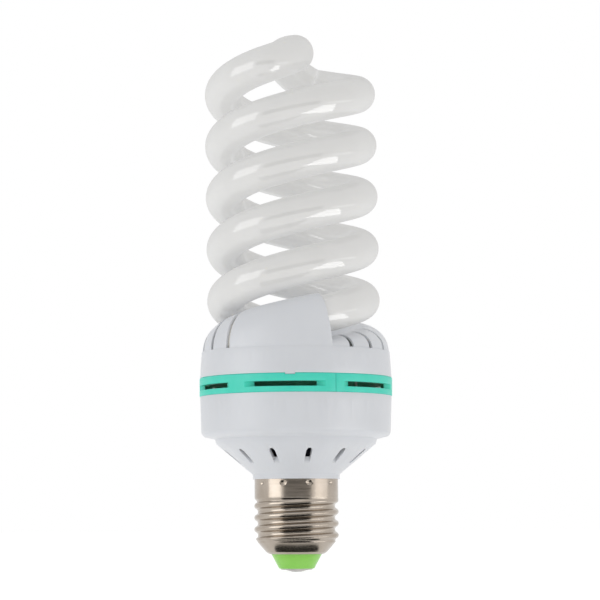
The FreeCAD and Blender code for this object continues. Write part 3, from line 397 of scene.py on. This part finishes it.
# Name, dark and light colour, spot size, roughness, height of the relief
SPECKLED = (
    ("ferrite", (0.045, 0.045, 0.05), (0.10, 0.10, 0.105), 0.4 * MM, 0.6, 0.03 * MM),
    ("cement", (0.70, 0.68, 0.62), (0.84, 0.83, 0.79), 0.5 * MM, 0.85, 0.08 * MM),
    ("black_moulding", (0.02, 0.02, 0.022), (0.045, 0.045, 0.05), 0.3 * MM, 0.5, 0.01 * MM),
    ("toroid_coating", (0.05, 0.20, 0.08), (0.08, 0.28, 0.12), 1 * MM, 0.3, 0.01 * MM),
    ("film_coating", (0.36, 0.055, 0.02), (0.44, 0.08, 0.03), 1.5 * MM, 0.25, 0.02 * MM),
)
for row in SPECKLED:
    print(make_speckled(*row).name)

# %% Banded finishes
BAND_DISTORTION = 0.3
BAND_LOW = 0.3
BAND_HIGH = 0.7


def make_banded(name, first, second, width, axis, roughness, height=0.0, metallic=0.0):
    """Bands of two colours across an axis, each pair as wide as width in metres."""
    finish = new_finish(name, first, roughness, metallic)
    place = add_node(finish, "ShaderNodeTexCoord")
    scale = math.pi / (10 * width)
    wave = add_node(finish, "ShaderNodeTexWave", Scale=scale, Distortion=BAND_DISTORTION)
    wave.bands_direction = axis
    connect(finish, place.outputs["Object"], wave.inputs["Vector"])
    drift_colour(finish, wave.outputs["Fac"], first, second, BAND_LOW, BAND_HIGH)
    if height:
        relief(finish, wave.outputs["Fac"], height)
    return finish


# Name, two colours, width of a pair of bands, axis, roughness, height of the relief, metallic
BANDED = (
    ("copper_wire", (0.35, 0.13, 0.05), (0.62, 0.27, 0.11), 0.5 * MM, "Z", 0.35, 0.15 * MM, 0.9),
    ("capacitor_sleeve", (0.012, 0.016, 0.06), (0.03, 0.04, 0.11), 9 * MM, "X", 0.3),
    ("resistor_coating", (0.62, 0.50, 0.30), (0.30, 0.10, 0.04), 2.4 * MM, "Z", 0.45),
    ("fuse_sleeve", (0.60, 0.58, 0.50), (0.74, 0.72, 0.66), 0.6 * MM, "Z", 0.8, 0.08 * MM),
    ("board_laminate", (0.34, 0.22, 0.09), (0.42, 0.29, 0.13), 1.2 * MM, "X", 0.5, 0.01 * MM),
)
for row in BANDED:
    print(make_banded(*row).name)

# %% [markdown]
# ## Painting the pieces that stay
#
# The record says which slot each piece takes its finish from. The finishes above have the slots' names, so
# one loop paints every piece of the frame.

# %% Paint the frame
finishes = {finish.name: finish for finish in bpy.data.materials}
slot_of = {row["node"]: row["material_slot"] for row in frame["record"]["subparts"]}


def paint(piece, finish):
    piece.data.materials.clear()
    piece.data.materials.append(finish)


for name, node in nodes.items():
    for place in node.material_slots:
        place.material = finishes[slot_of[name]]
    if not node.material_slots:
        node.data.materials.append(finishes[slot_of[name]])
print("painted:", len(nodes))

# %% [markdown]
# ## Even shading
#
# A turned wall is round, but its mesh is a ring of long flat faces, and Blender works out a point's normal
# from the faces that meet there. Where they differ in size, the normals swing a little to and fro and the
# wall shows upright streaks. A round wall's normal points straight away from the axis. So each normal that
# nearly does is turned until it does, and the others, such as those in the slots, stay.

# %% Normals of round walls
TURN_STARTS = 8.0
TURN_BLEND = 4.0
LEAST_LEVEL = 0.05


def even_normals(piece):
    """Shade turned walls as round: a normal that nearly points at the axis is made to do so."""
    mesh = piece.data
    normals = [corner.vector.copy() for corner in mesh.corner_normals]
    for index, loop in enumerate(mesh.loops):
        place = mesh.vertices[loop.vertex_index].co
        outward = Vector((place.x, place.y, 0)).normalized()
        normal = normals[index]
        level = Vector((normal.x, normal.y, 0))
        turn = outward.angle(level, 0) if level.length > LEAST_LEVEL else 0
        off = math.degrees(min(turn, math.pi - turn))
        share = min(max((TURN_STARTS - off) / TURN_BLEND, 0), 1)
        ideal = outward * math.copysign(level.length, outward.dot(level))
        level = level.lerp(ideal, share)
        normals[index] = Vector((level.x, level.y, normal.z)).normalized()
    mesh.normals_split_custom_set(normals)


print("normals within", TURN_STARTS - TURN_BLEND, "degrees are set straight")

# %% [markdown]
# ## Smooth copies
#
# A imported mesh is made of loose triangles, so it can only look faceted. For the moulded pieces a merged
# copy is enough: double points go, flat neighbours join up, and a narrow bevel rounds the edges as the
# mould does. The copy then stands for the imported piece.

# %% Copy, merge, bevel
MERGE = 0.002 * MM
FLAT_ANGLE = 0.4
MOULD_EDGE = 0.12 * MM
BEVEL_STEPS = 2


def merge_points():
    bpy.ops.mesh.select_all(action="SELECT")
    bpy.ops.mesh.remove_doubles(threshold=MERGE)


def smooth_copy(node, edge, angle=35.0, reshape=None):
    """A merged copy with rounded edges. Its points may be moved first, by reshape, in mm."""
    pick(nodes[node])
    bpy.ops.object.duplicate()
    piece = bpy.context.view_layer.objects.active
    piece.name = node + "_skin"
    piece.parent = None
    for key in list(piece.keys()):
        del piece[key]
    bpy.ops.object.mode_set(mode="EDIT")
    merge_points()
    bpy.ops.mesh.dissolve_limited(angle_limit=math.radians(FLAT_ANGLE))
    bpy.ops.object.mode_set(mode="OBJECT")
    if reshape:
        for point in piece.data.vertices:
            point.co = reshape(point.co / MM) * MM
    bevel = piece.modifiers.new("edge", "BEVEL")
    bevel.width = edge
    bevel.segments = BEVEL_STEPS
    bevel.limit_method = "ANGLE"
    bevel.angle_limit = math.radians(angle)
    bevel.use_clamp_overlap = True
    bpy.ops.object.modifier_apply(modifier=bevel.name)
    bpy.ops.object.shade_smooth_by_angle(angle=math.radians(angle))
    even_normals(piece)
    return piece


def stand_in(piece, node):
    """The piece replaces a node of the frame, with its body and its slot."""
    paint(piece, finishes[slot_of[node]])
    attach(piece, "root")
    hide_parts(node)
    show_count(piece)


for node in ("lower_housing", "vent_ring"):
    stand_in(smooth_copy(node, MOULD_EDGE), node)

# %% [markdown]
# ## The cover and its slots
#
# The cover has seven slots over the shoulder of each hood. The real ones are a little wider than those of
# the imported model. Cutting them anew would take a boolean for each. The copy's points are moved instead:
# those on a slot's walls go apart, and those beside it follow less the farther away they are.

# %% Cover with wider slots
RIM_HEIGHT = 68.0
SLOT_FIRST = -54.0
SLOT_STEP = 16.5
SLOT_COUNT = 7
SLOT_INNER = 20.5
SLOT_HALF = 0.5
SLOT_HALF_WIDE = 0.78
SLOT_REACH = 1.2
RIM_MARGIN = 0.05
WALL_MARGIN = 0.01


def widen_slots(place):
    """Move the walls of the shoulder slots apart, and what lies beside them a little."""
    if place.z < RIM_HEIGHT + RIM_MARGIN:
        return place
    for number in range(2 * SLOT_COUNT):
        side, slot = divmod(number, SLOT_COUNT)
        turn = math.radians(SLOT_FIRST + SLOT_STEP * slot + 180 * side)
        along = place.x * math.cos(turn) + place.y * math.sin(turn)
        across = place.y * math.cos(turn) - place.x * math.sin(turn)
        if along > SLOT_INNER and SLOT_HALF - WALL_MARGIN < abs(across) < SLOT_REACH:
            share = (abs(across) - SLOT_HALF) / (SLOT_REACH - SLOT_HALF)
            moved = math.copysign(SLOT_HALF_WIDE + (SLOT_REACH - SLOT_HALF_WIDE) * share, across)
            return Vector((
                along * math.cos(turn) - moved * math.sin(turn),
                along * math.sin(turn) + moved * math.cos(turn),
                place.z,
            ))
    return place


stand_in(smooth_copy("top_cover", MOULD_EDGE, reshape=widen_slots), "top_cover")

# %% [markdown]
# ## The spiral tube
#
# The tube is one piece of glass: two right-handed strands that meet over the top in an S-shaped bridge.
# A helix gives the strands and a cubic curve the bridge. The second strand is the first one turned by half
# a turn about the axis, and the whole spiral leans a little in its cover.

# %% Centre line of the tube
TUBE_RADIUS = 5.71
COIL_RADIUS = 21.3
COIL_PITCH = 32.64
LOBE_HEIGHT = 84.2
START_ANGLE = -142.0
END_ANGLE = 787.2
NARROWING = 0.32
NARROWING_ANGLE = 216
BRIDGE_TOP = 162.8
BRIDGE_LEAD = 3.9
BRIDGE_REACH = 8.65
BRIDGE_ANGLE = -42.2
LEAN = -0.7
LEAN_HEIGHT = 34.0
STRAND_STEP = 3.0
SHORT_STEP = 0.5
BRIDGE_STEPS = 20


def strand_point(angle):
    narrow = min(max(1 - (END_ANGLE - angle) / NARROWING_ANGLE, 0.0), 1.0) ** 2
    radius = COIL_RADIUS - NARROWING * narrow
    turn = math.radians(angle)
    height = LOBE_HEIGHT + COIL_PITCH * angle / 360
    return Vector((radius * math.cos(turn), radius * math.sin(turn), height))


def bridge_point(part):
    """The bridge from the strand's end, at part 0, to the axis, at part 1."""
    end = strand_point(END_ANGLE)
    away = (end - strand_point(END_ANGLE - SHORT_STEP)).normalized()
    top = Vector((0, 0, BRIDGE_TOP))
    turn = math.radians(BRIDGE_ANGLE)
    through = Vector((math.cos(turn), math.sin(turn), 0))
    pulls = (end, end + away * BRIDGE_LEAD, top - through * BRIDGE_REACH, top)
    rest = 1 - part
    weights = (rest ** 3, 3 * rest * rest * part, 3 * rest * part * part, part ** 3)
    return sum((pull * weight for pull, weight in zip(pulls, weights)), Vector())


def centre_line():
    count = int((END_ANGLE - START_ANGLE) / STRAND_STEP)
    points = [strand_point(START_ANGLE + (END_ANGLE - START_ANGLE) * i / count) for i in range(count)]
    points += [bridge_point(i / BRIDGE_STEPS) for i in range(BRIDGE_STEPS + 1)]
    points += [Vector((-p.x, -p.y, p.z)) for p in reversed(points[:-1])]
    pivot = Vector((0, 0, LEAN_HEIGHT))
    lean = Matrix.Rotation(math.radians(LEAN), 3, "Y")
    return [(lean @ (p - pivot) + pivot) * MM for p in points]


line = centre_line()
print("points on the centre line:", len(line))
print("length of the tube in mm:", round(sum((b - a).length for a, b in zip(line, line[1:])) / MM))

# %% [markdown]
# ## Sweeping the glass
#
# A curve object with a round section sweeps the glass along the centre line, and turning it into a mesh
# fixes the shape. Real opal glass lets daylight through to the strands behind it. So the tube is hidden
# from diffuse rays, and its back strands aren't darker than they should be.

# %% Sweep the glass
TUBE_SIDES = 48
TUBE_SMOOTH = 40


def sweep(name, points, radius, sides):
    bpy.ops.object.select_all(action="DESELECT")
    bpy.ops.curve.primitive_nurbs_path_add(location=(0, 0, 0))
    piece = bpy.context.view_layer.objects.active
    piece.name = name
    curve = piece.data
    curve.splines.clear()
    spline = curve.splines.new("POLY")
    spline.points.add(len(points) - 1)
    for knot, point in zip(spline.points, points):
        knot.co = (*point, 1.0)
    curve.twist_mode = "MINIMUM"
    curve.bevel_depth = radius
    curve.bevel_resolution = sides // 2 - 2
    curve.use_fill_caps = True
    bpy.ops.object.convert(target="MESH")
    piece = bpy.context.view_layer.objects.active
    bpy.ops.object.mode_set(mode="EDIT")
    merge_points()
    bpy.ops.mesh.normals_make_consistent(inside=False)
    bpy.ops.object.mode_set(mode="OBJECT")
    bpy.ops.object.shade_smooth_by_angle(angle=math.radians(TUBE_SMOOTH))
    return piece


glass = sweep("spiral_glass", line, TUBE_RADIUS * MM, TUBE_SIDES)
glass.visible_diffuse = False
stand_in(glass, "spiral_tube")

# %% [markdown]
# ## The screw cap
#
# The cap is one drawn sheet. Its thread is rolled, so it is a smooth wave that climbs round the cap and
# fades into the flare below and the collar above. Its crests and roots are arcs, which mirror a lamp as a
# clear band. The collar has crimp dimples near its top. One function gives the cap's radius at any angle
# and height.

# %% Outline and thread of the cap
CAP_RIM = (8.5, 5.45)
CAP_KNEE = (9.42, 6.04)
THREAD_BOTTOM = 9.1
THREAD_BOTTOM_RADIUS = 12.1
CREST_RADIUS = 13.1
ROOT_RADIUS = 11.97
PITCH = 3.629
CREST_HEIGHT = 14.85
RUN_IN = 1.5
RUN_OUT = 1.6
THREAD_TOP = 22.8
COLLAR_RADIUS = 13.0
CAP_TOP = 28.56
CAP_WALL = 0.3
CRIMP_HEIGHT = 27.3
CRIMP_BALL = 0.95
CRIMP_DEPTH = 0.4
CRIMP_COUNT = 10


def blend(part):
    part = min(max(part, 0.0), 1.0)
    return part * part * (3 - 2 * part)


def rolled_wave(turns):
    """Thread profile from 1 at a crest to -1 at a root: two arcs that meet on the flank."""
    depth = CREST_RADIUS - ROOT_RADIUS
    arc = (PITCH * PITCH / 4 + depth * depth) / (4 * depth)
    off_crest = abs(turns - round(turns)) * PITCH
    off_root = PITCH / 2 - off_crest
    if off_crest < off_root:
        return 1 - 2 * (arc - math.sqrt(arc * arc - off_crest * off_crest)) / depth
    return 2 * (arc - math.sqrt(arc * arc - off_root * off_root)) / depth - 1


def dimple(turn, height):
    """How far a crimp dimple sinks the collar, in mm."""
    step = 2 * math.pi / CRIMP_COUNT
    across = (turn - step * round(turn / step)) * COLLAR_RADIUS
    reach = CRIMP_BALL ** 2 - across ** 2 - (height - CRIMP_HEIGHT) ** 2
    return max(math.sqrt(reach) - CRIMP_BALL + CRIMP_DEPTH, 0.0) if reach > 0 else 0.0


def cap_radius(turn, height):
    """Outside radius of the cap in mm, at an angle in radians and a height in mm."""
    if height < CAP_KNEE[1]:
        share = (height - CAP_RIM[1]) / (CAP_KNEE[1] - CAP_RIM[1])
        return CAP_RIM[0] + (CAP_KNEE[0] - CAP_RIM[0]) * share
    if height < THREAD_BOTTOM:
        share = (height - CAP_KNEE[1]) / (THREAD_BOTTOM - CAP_KNEE[1])
        return CAP_KNEE[0] + (THREAD_BOTTOM_RADIUS - CAP_KNEE[0]) * share
    run_in = blend((height - THREAD_BOTTOM) / RUN_IN)
    run_out = blend((THREAD_TOP - height) / RUN_OUT)
    middle = (CREST_RADIUS + ROOT_RADIUS) / 2
    depth = (CREST_RADIUS - ROOT_RADIUS) / 2
    foot = THREAD_BOTTOM_RADIUS + (middle - THREAD_BOTTOM_RADIUS) * run_in
    base = foot + (COLLAR_RADIUS - middle) * (1 - run_out)
    turns = (height - CREST_HEIGHT) / PITCH - turn / (2 * math.pi)
    return base + depth * run_in * run_out * rolled_wave(turns) - dimple(turn, height)


widest = max(cap_radius(math.radians(i), CREST_HEIGHT) for i in range(360))
print("crest diameter in mm:", round(2 * widest, 2))

# %% [markdown]
# ## Rolling up the cap
#
# A flat grid is bent into a tube by giving each of its points a turn and a height. Where its two sides
# meet, the double points are merged. Solidify then gives the sheet its thickness, on the inside.

# %% Bend a grid into the cap
CAP_COLUMNS = 240
CAP_ROWS = 190
CAP_SMOOTH = 50


def make_cap():
    bpy.ops.object.select_all(action="DESELECT")
    bpy.ops.mesh.primitive_grid_add(x_subdivisions=CAP_COLUMNS, y_subdivisions=CAP_ROWS, size=2)
    piece = bpy.context.view_layer.objects.active
    piece.name = "screw_cap_skin"
    for point in piece.data.vertices:
        turn = math.pi * (1 + point.co.x)
        height = CAP_RIM[1] + (CAP_TOP - CAP_RIM[1]) * (1 + point.co.y) / 2
        radius = cap_radius(turn, height)
        point.co = Vector((radius * math.cos(turn), radius * math.sin(turn), height)) * MM
    bpy.ops.object.mode_set(mode="EDIT")
    merge_points()
    bpy.ops.mesh.normals_make_consistent(inside=False)
    bpy.ops.object.mode_set(mode="OBJECT")
    wall = piece.modifiers.new("sheet", "SOLIDIFY")
    wall.thickness = CAP_WALL * MM
    wall.offset = -1
    bpy.ops.object.modifier_apply(modifier=wall.name)
    bpy.ops.object.shade_smooth_by_angle(angle=math.radians(CAP_SMOOTH))
    return piece


stand_in(make_cap(), "screw_shell")

# %% [markdown]
# ## Insulator, contact and solder
#
# These three are turned forms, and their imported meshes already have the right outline. So they get merged
# copies as the moulded pieces did, with wider bevels where glass or metal has run smooth. The contact is
# a pressed disc that bulges downwards, so its points are lifted the more, the nearer they are to the rim.

# %% Turned pieces
contact_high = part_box("centre_contact")[1]
CONTACT_RADIUS = contact_high.x / MM
CONTACT_DOME = 0.7
TURNED_ANGLE = 25.0
INSULATOR_EDGE = 0.25 * MM
CONTACT_EDGE = 0.1 * MM
SOLDER_EDGE = 0.03 * MM


def dome(place):
    """Lift the contact's rim, so that its middle is the lowest."""
    away = (place.x * place.x + place.y * place.y) / CONTACT_RADIUS ** 2
    return Vector((place.x, place.y, place.z + CONTACT_DOME * away))


stand_in(smooth_copy("base_insulator", INSULATOR_EDGE, TURNED_ANGLE), "base_insulator")
stand_in(smooth_copy("centre_contact", CONTACT_EDGE, TURNED_ANGLE, dome), "centre_contact")
stand_in(smooth_copy("contact_solder", SOLDER_EDGE, TURNED_ANGLE), "contact_solder")

# %% [markdown]
# ## White background
#
# The lamp stands in front of plain white, but so much white light from all sides would wash it out. So
# the world and the floor have two faces. To the camera, in mirrors and through glass they are white. To
# the rays that light the lamp they are weaker. The Light Path node tells one kind of ray from the other.

# %% Rays that see the white background
def seen_share(tree):
    """1 for a ray of the camera, of a mirror or through glass, and 0 for light on its way."""
    path = tree.nodes.new("ShaderNodeLightPath")
    either = tree.nodes.new("ShaderNodeMath")
    either.operation = "MAXIMUM"
    any_ray = tree.nodes.new("ShaderNodeMath")
    any_ray.operation = "MAXIMUM"
    tree.links.new(path.outputs["Is Camera Ray"], either.inputs[0])
    tree.links.new(path.outputs["Is Glossy Ray"], either.inputs[1])
    tree.links.new(either.outputs[0], any_ray.inputs[0])
    tree.links.new(path.outputs["Is Transmission Ray"], any_ray.inputs[1])
    return any_ray.outputs[0]


def mix_by_ray(tree, lighting, seen, out):
    """Join what lights the lamp and what is seen behind it."""
    mix = tree.nodes.new("ShaderNodeMixShader")
    tree.links.new(seen_share(tree), mix.inputs[0])
    tree.links.new(lighting, mix.inputs[1])
    tree.links.new(seen, mix.inputs[2])
    tree.links.new(mix.outputs[0], out.inputs["Surface"])


print("ray helpers ready")

# %% World
AMBIENT = 0.71
WHITE = (1, 1, 1, 1)


def make_world():
    world = bpy.data.worlds.new("studio")
    bpy.context.scene.world = world
    world.use_nodes = True
    tree = world.node_tree
    tree.nodes.clear()
    lit = tree.nodes.new("ShaderNodeBackground")
    seen = tree.nodes.new("ShaderNodeBackground")
    lit.inputs["Color"].default_value = WHITE
    seen.inputs["Color"].default_value = WHITE
    lit.inputs["Strength"].default_value = AMBIENT
    seen.inputs["Strength"].default_value = 1.0
    mix_by_ray(tree, lit.outputs[0], seen.outputs[0], tree.nodes.new("ShaderNodeOutputWorld"))
    return world


print(make_world().name)

# %% [markdown]
# ## The floor
#
# The floor is matte and glows a little. Its matte part takes the lamp's shadow. Its glow stands for the
# bright table that lights such a lamp from below, which is why the undersides of the strands are light.

# %% Floor
FLOOR_SIDE = 6
FLOOR_GAP = 0.05 * MM
FLOOR_LIT = 0.92
FLOOR_SEEN = 0.3
GLOW_BELOW = 0.28
GLOW_SEEN = 0.86


def glowing_matte(tree, colour, strength):
    matte = tree.nodes.new("ShaderNodeBsdfDiffuse")
    matte.inputs["Color"].default_value = (colour, colour, colour, 1)
    glow = tree.nodes.new("ShaderNodeEmission")
    glow.inputs["Strength"].default_value = strength
    both = tree.nodes.new("ShaderNodeAddShader")
    tree.links.new(matte.outputs[0], both.inputs[0])
    tree.links.new(glow.outputs[0], both.inputs[1])
    return both.outputs[0]


def make_floor():
    bpy.ops.object.select_all(action="DESELECT")
    bpy.ops.mesh.primitive_plane_add(size=FLOOR_SIDE, location=(0, 0, cad_low.z - FLOOR_GAP))
    floor = bpy.context.view_layer.objects.active
    floor.name = "floor"
    finish = bpy.data.materials.new("floor_white")
    finish.use_nodes = True
    tree = finish.node_tree
    tree.nodes.clear()
    lighting = glowing_matte(tree, FLOOR_LIT, GLOW_BELOW)
    seen = glowing_matte(tree, FLOOR_SEEN, GLOW_SEEN)
    mix_by_ray(tree, lighting, seen, tree.nodes.new("ShaderNodeOutputMaterial"))
    paint(floor, finish)
    return floor


print(make_floor().name)

# %% [markdown]
# ## Lamps of the studio
#
# Two large soft boxes light the lamp, a cool one from the left and a weaker warm one from the right. What
# shows in the glass and in the nickel is another matter: there the eye sees the lamps themselves. Three
# panels are seen by glossy rays only. They put the bright patches where the real studio has them and
# light nothing else.

# %% Soft boxes
AIM_HEIGHT = 0.1


def direction(azimuth, elevation):
    """Unit vector at an azimuth from the front, positive to the right, and an elevation, in degrees."""
    a = math.radians(azimuth)
    e = math.radians(elevation)
    return Vector((math.sin(a) * math.cos(e), -math.cos(a) * math.cos(e), math.sin(e)))


def area_lamp(name, width, height, watts, mirrored=False, colour=(1, 1, 1)):
    """An area lamp. A mirrored one shows in glossy surfaces and lights nothing."""
    light = bpy.data.lights.new(name, "AREA")
    light.shape = "RECTANGLE"
    light.size = width
    light.size_y = height
    light.energy = watts
    light.color = colour
    lamp = bpy.data.objects.new(name, light)
    bpy.context.scene.collection.objects.link(lamp)
    lamp.visible_camera = False
    lamp.visible_diffuse = not mirrored
    lamp.visible_glossy = mirrored
    return lamp


def face_the_bulb(lamp, azimuth, elevation, distance):
    away = direction(azimuth, elevation)
    lamp.location = Vector((0, 0, AIM_HEIGHT)) + away * distance
    lamp.rotation_euler = away.to_track_quat("Z", "Y").to_euler()


left_light = area_lamp("left_light", 0.6, 0.6, watts=0.35, colour=(0.88, 0.95, 1.0))
right_light = area_lamp("right_light", 0.6, 0.6, watts=0.08, colour=(1.0, 0.94, 0.80))
left_panel = area_lamp("left_panel", 0.34, 0.36, watts=0.62, mirrored=True)
right_foot = area_lamp("right_foot", 0.60, 0.16, watts=0.28, mirrored=True)
face_the_bulb(left_light, azimuth=-70, elevation=15, distance=0.9)
face_the_bulb(right_light, azimuth=60, elevation=0, distance=0.9)
face_the_bulb(left_panel, azimuth=-61, elevation=3.5, distance=0.5)
face_the_bulb(right_foot, azimuth=74, elevation=-6, distance=0.8)

# %% The panel on the floor
PANEL_AZIMUTH = 60
PANEL_DISTANCE = 0.30
PANEL_HEIGHT = 0.002


def lay_on_floor(lamp):
    """Lay the panel down, facing up, with its long sides running away from the bulb."""
    away = direction(PANEL_AZIMUTH, 0)
    lamp.location = away * PANEL_DISTANCE + Vector((0, 0, PANEL_HEIGHT))
    lamp.rotation_euler = Euler((math.radians(180), 0, math.radians(PANEL_AZIMUTH)))


right_panel = area_lamp("right_panel", 0.16, 0.34, watts=0.48, mirrored=True)
lay_on_floor(right_panel)
print(right_panel.name)

# %% [markdown]
# ## The dark side of the studio
#
# Polished metal looks like metal because it mirrors something dark beside something bright. In the
# photograph's studio that is the camera's side of the room and the shade under the lamp. Three dark cards
# stand for them: an upright wall in front, a crescent on the floor for the oval on the cap's flare, and a
# wedge on the floor for the roots of the thread. Only glossy rays see them.

# %% Dark cards
CARD_COLOUR = (0.02, 0.02, 0.02, 1)
CARD_GAP = 0.03 * MM
WALL_WIDTH = 1.6
WALL_HEIGHT = 0.38
WALL_PLACE = (0.1, -1.0, WALL_HEIGHT / 2)
CRESCENT_STEPS = 24
CRESCENT_TURN = 70
CRESCENT_INNER = (10.5, 9.2)
CRESCENT_WIDTH = (4.3, 3.45)
WEDGE_NEAR = (15, 15)
WEDGE_GROWTH = (60, 85)


def dark_card(name):
    """Turn the plane just made into a card that only mirrors show."""
    card = bpy.context.view_layer.objects.active
    card.name = name
    finish = bpy.data.materials.new(name)
    finish.use_nodes = True
    shader_of(finish).inputs["Base Color"].default_value = CARD_COLOUR
    shader_of(finish).inputs["Roughness"].default_value = 1.0
    paint(card, finish)
    card.visible_camera = False
    card.visible_diffuse = False
    card.visible_shadow = False
    card.visible_transmission = False
    return card


def floor_card(name, columns, shape):
    """A grid just above the floor, whose points go where shape puts them, in mm."""
    bpy.ops.object.select_all(action="DESELECT")
    bpy.ops.mesh.primitive_grid_add(
        x_subdivisions=columns, y_subdivisions=1, size=2, location=(0, 0, -CARD_GAP))
    card = dark_card(name)
    for point in card.data.vertices:
        point.co = Vector((*shape(point.co.x, point.co.y), 0)) * MM
    return card


def crescent(x, y):
    """A strip bent round the front of the contact, which narrows to its two ends."""
    turn = math.radians(CRESCENT_TURN) * x
    swell = math.sqrt(max(1 - abs(x) ** 3, 0.0))
    out = (1 + swell * y) / 2
    across = CRESCENT_INNER[0] + CRESCENT_WIDTH[0] * out
    ahead = CRESCENT_INNER[1] + CRESCENT_WIDTH[1] * out
    return across * math.sin(turn), -ahead * math.cos(turn)


def wedge(x, y):
    """A trapezium in front of the bulb, which widens towards the camera."""
    far = (1 - y) / 2
    return x * (WEDGE_NEAR[0] + WEDGE_GROWTH[0] * far), -WEDGE_NEAR[1] - WEDGE_GROWTH[1] * far


bpy.ops.object.select_all(action="DESELECT")
bpy.ops.mesh.primitive_plane_add(size=1, location=WALL_PLACE, rotation=(math.radians(90), 0, 0))
dark_card("dark_wall").scale = (WALL_WIDTH, WALL_HEIGHT, 1.0)
print(floor_card("dark_crescent", CRESCENT_STEPS, crescent).name)
print(floor_card("dark_wedge", 1, wedge).name)

# %% [markdown]
# ## Camera
#
# The photograph was taken from the height of the cap, looking up a little, with a long lens. The lens
# follows from how many pixels wide a metre looks at one metre away, and the rest from where the axis and
# the cap's edges lie in the picture.

# %% Camera
PHOTO_SIDE = 600
FOCAL_PIXELS = 2353
CAMERA_DISTANCE = 0.734
CAMERA_HEIGHT = 0.0153
PITCH_UP = 5.39
YAW_RIGHT = 0.112
ROLL = -0.3


def make_camera():
    lens = bpy.data.cameras.new("camera")
    lens.sensor_fit = "HORIZONTAL"
    lens.lens = lens.sensor_width * FOCAL_PIXELS / PHOTO_SIDE
    camera = bpy.data.objects.new("camera", lens)
    bpy.context.scene.collection.objects.link(camera)
    camera.location = (0, -CAMERA_DISTANCE, CAMERA_HEIGHT)
    turn = Euler((math.radians(90 + PITCH_UP), 0, math.radians(-YAW_RIGHT))).to_matrix()
    camera.rotation_euler = (turn @ Matrix.Rotation(math.radians(ROLL), 3, "Z")).to_euler()
    bpy.context.scene.camera = camera
    return camera


print("lens in mm:", round(make_camera().data.lens, 1))

# %% [markdown]
# ## View transform
#
# The view transform stays plain.

# %% View transform
bpy.context.scene.view_settings.view_transform = "Standard"
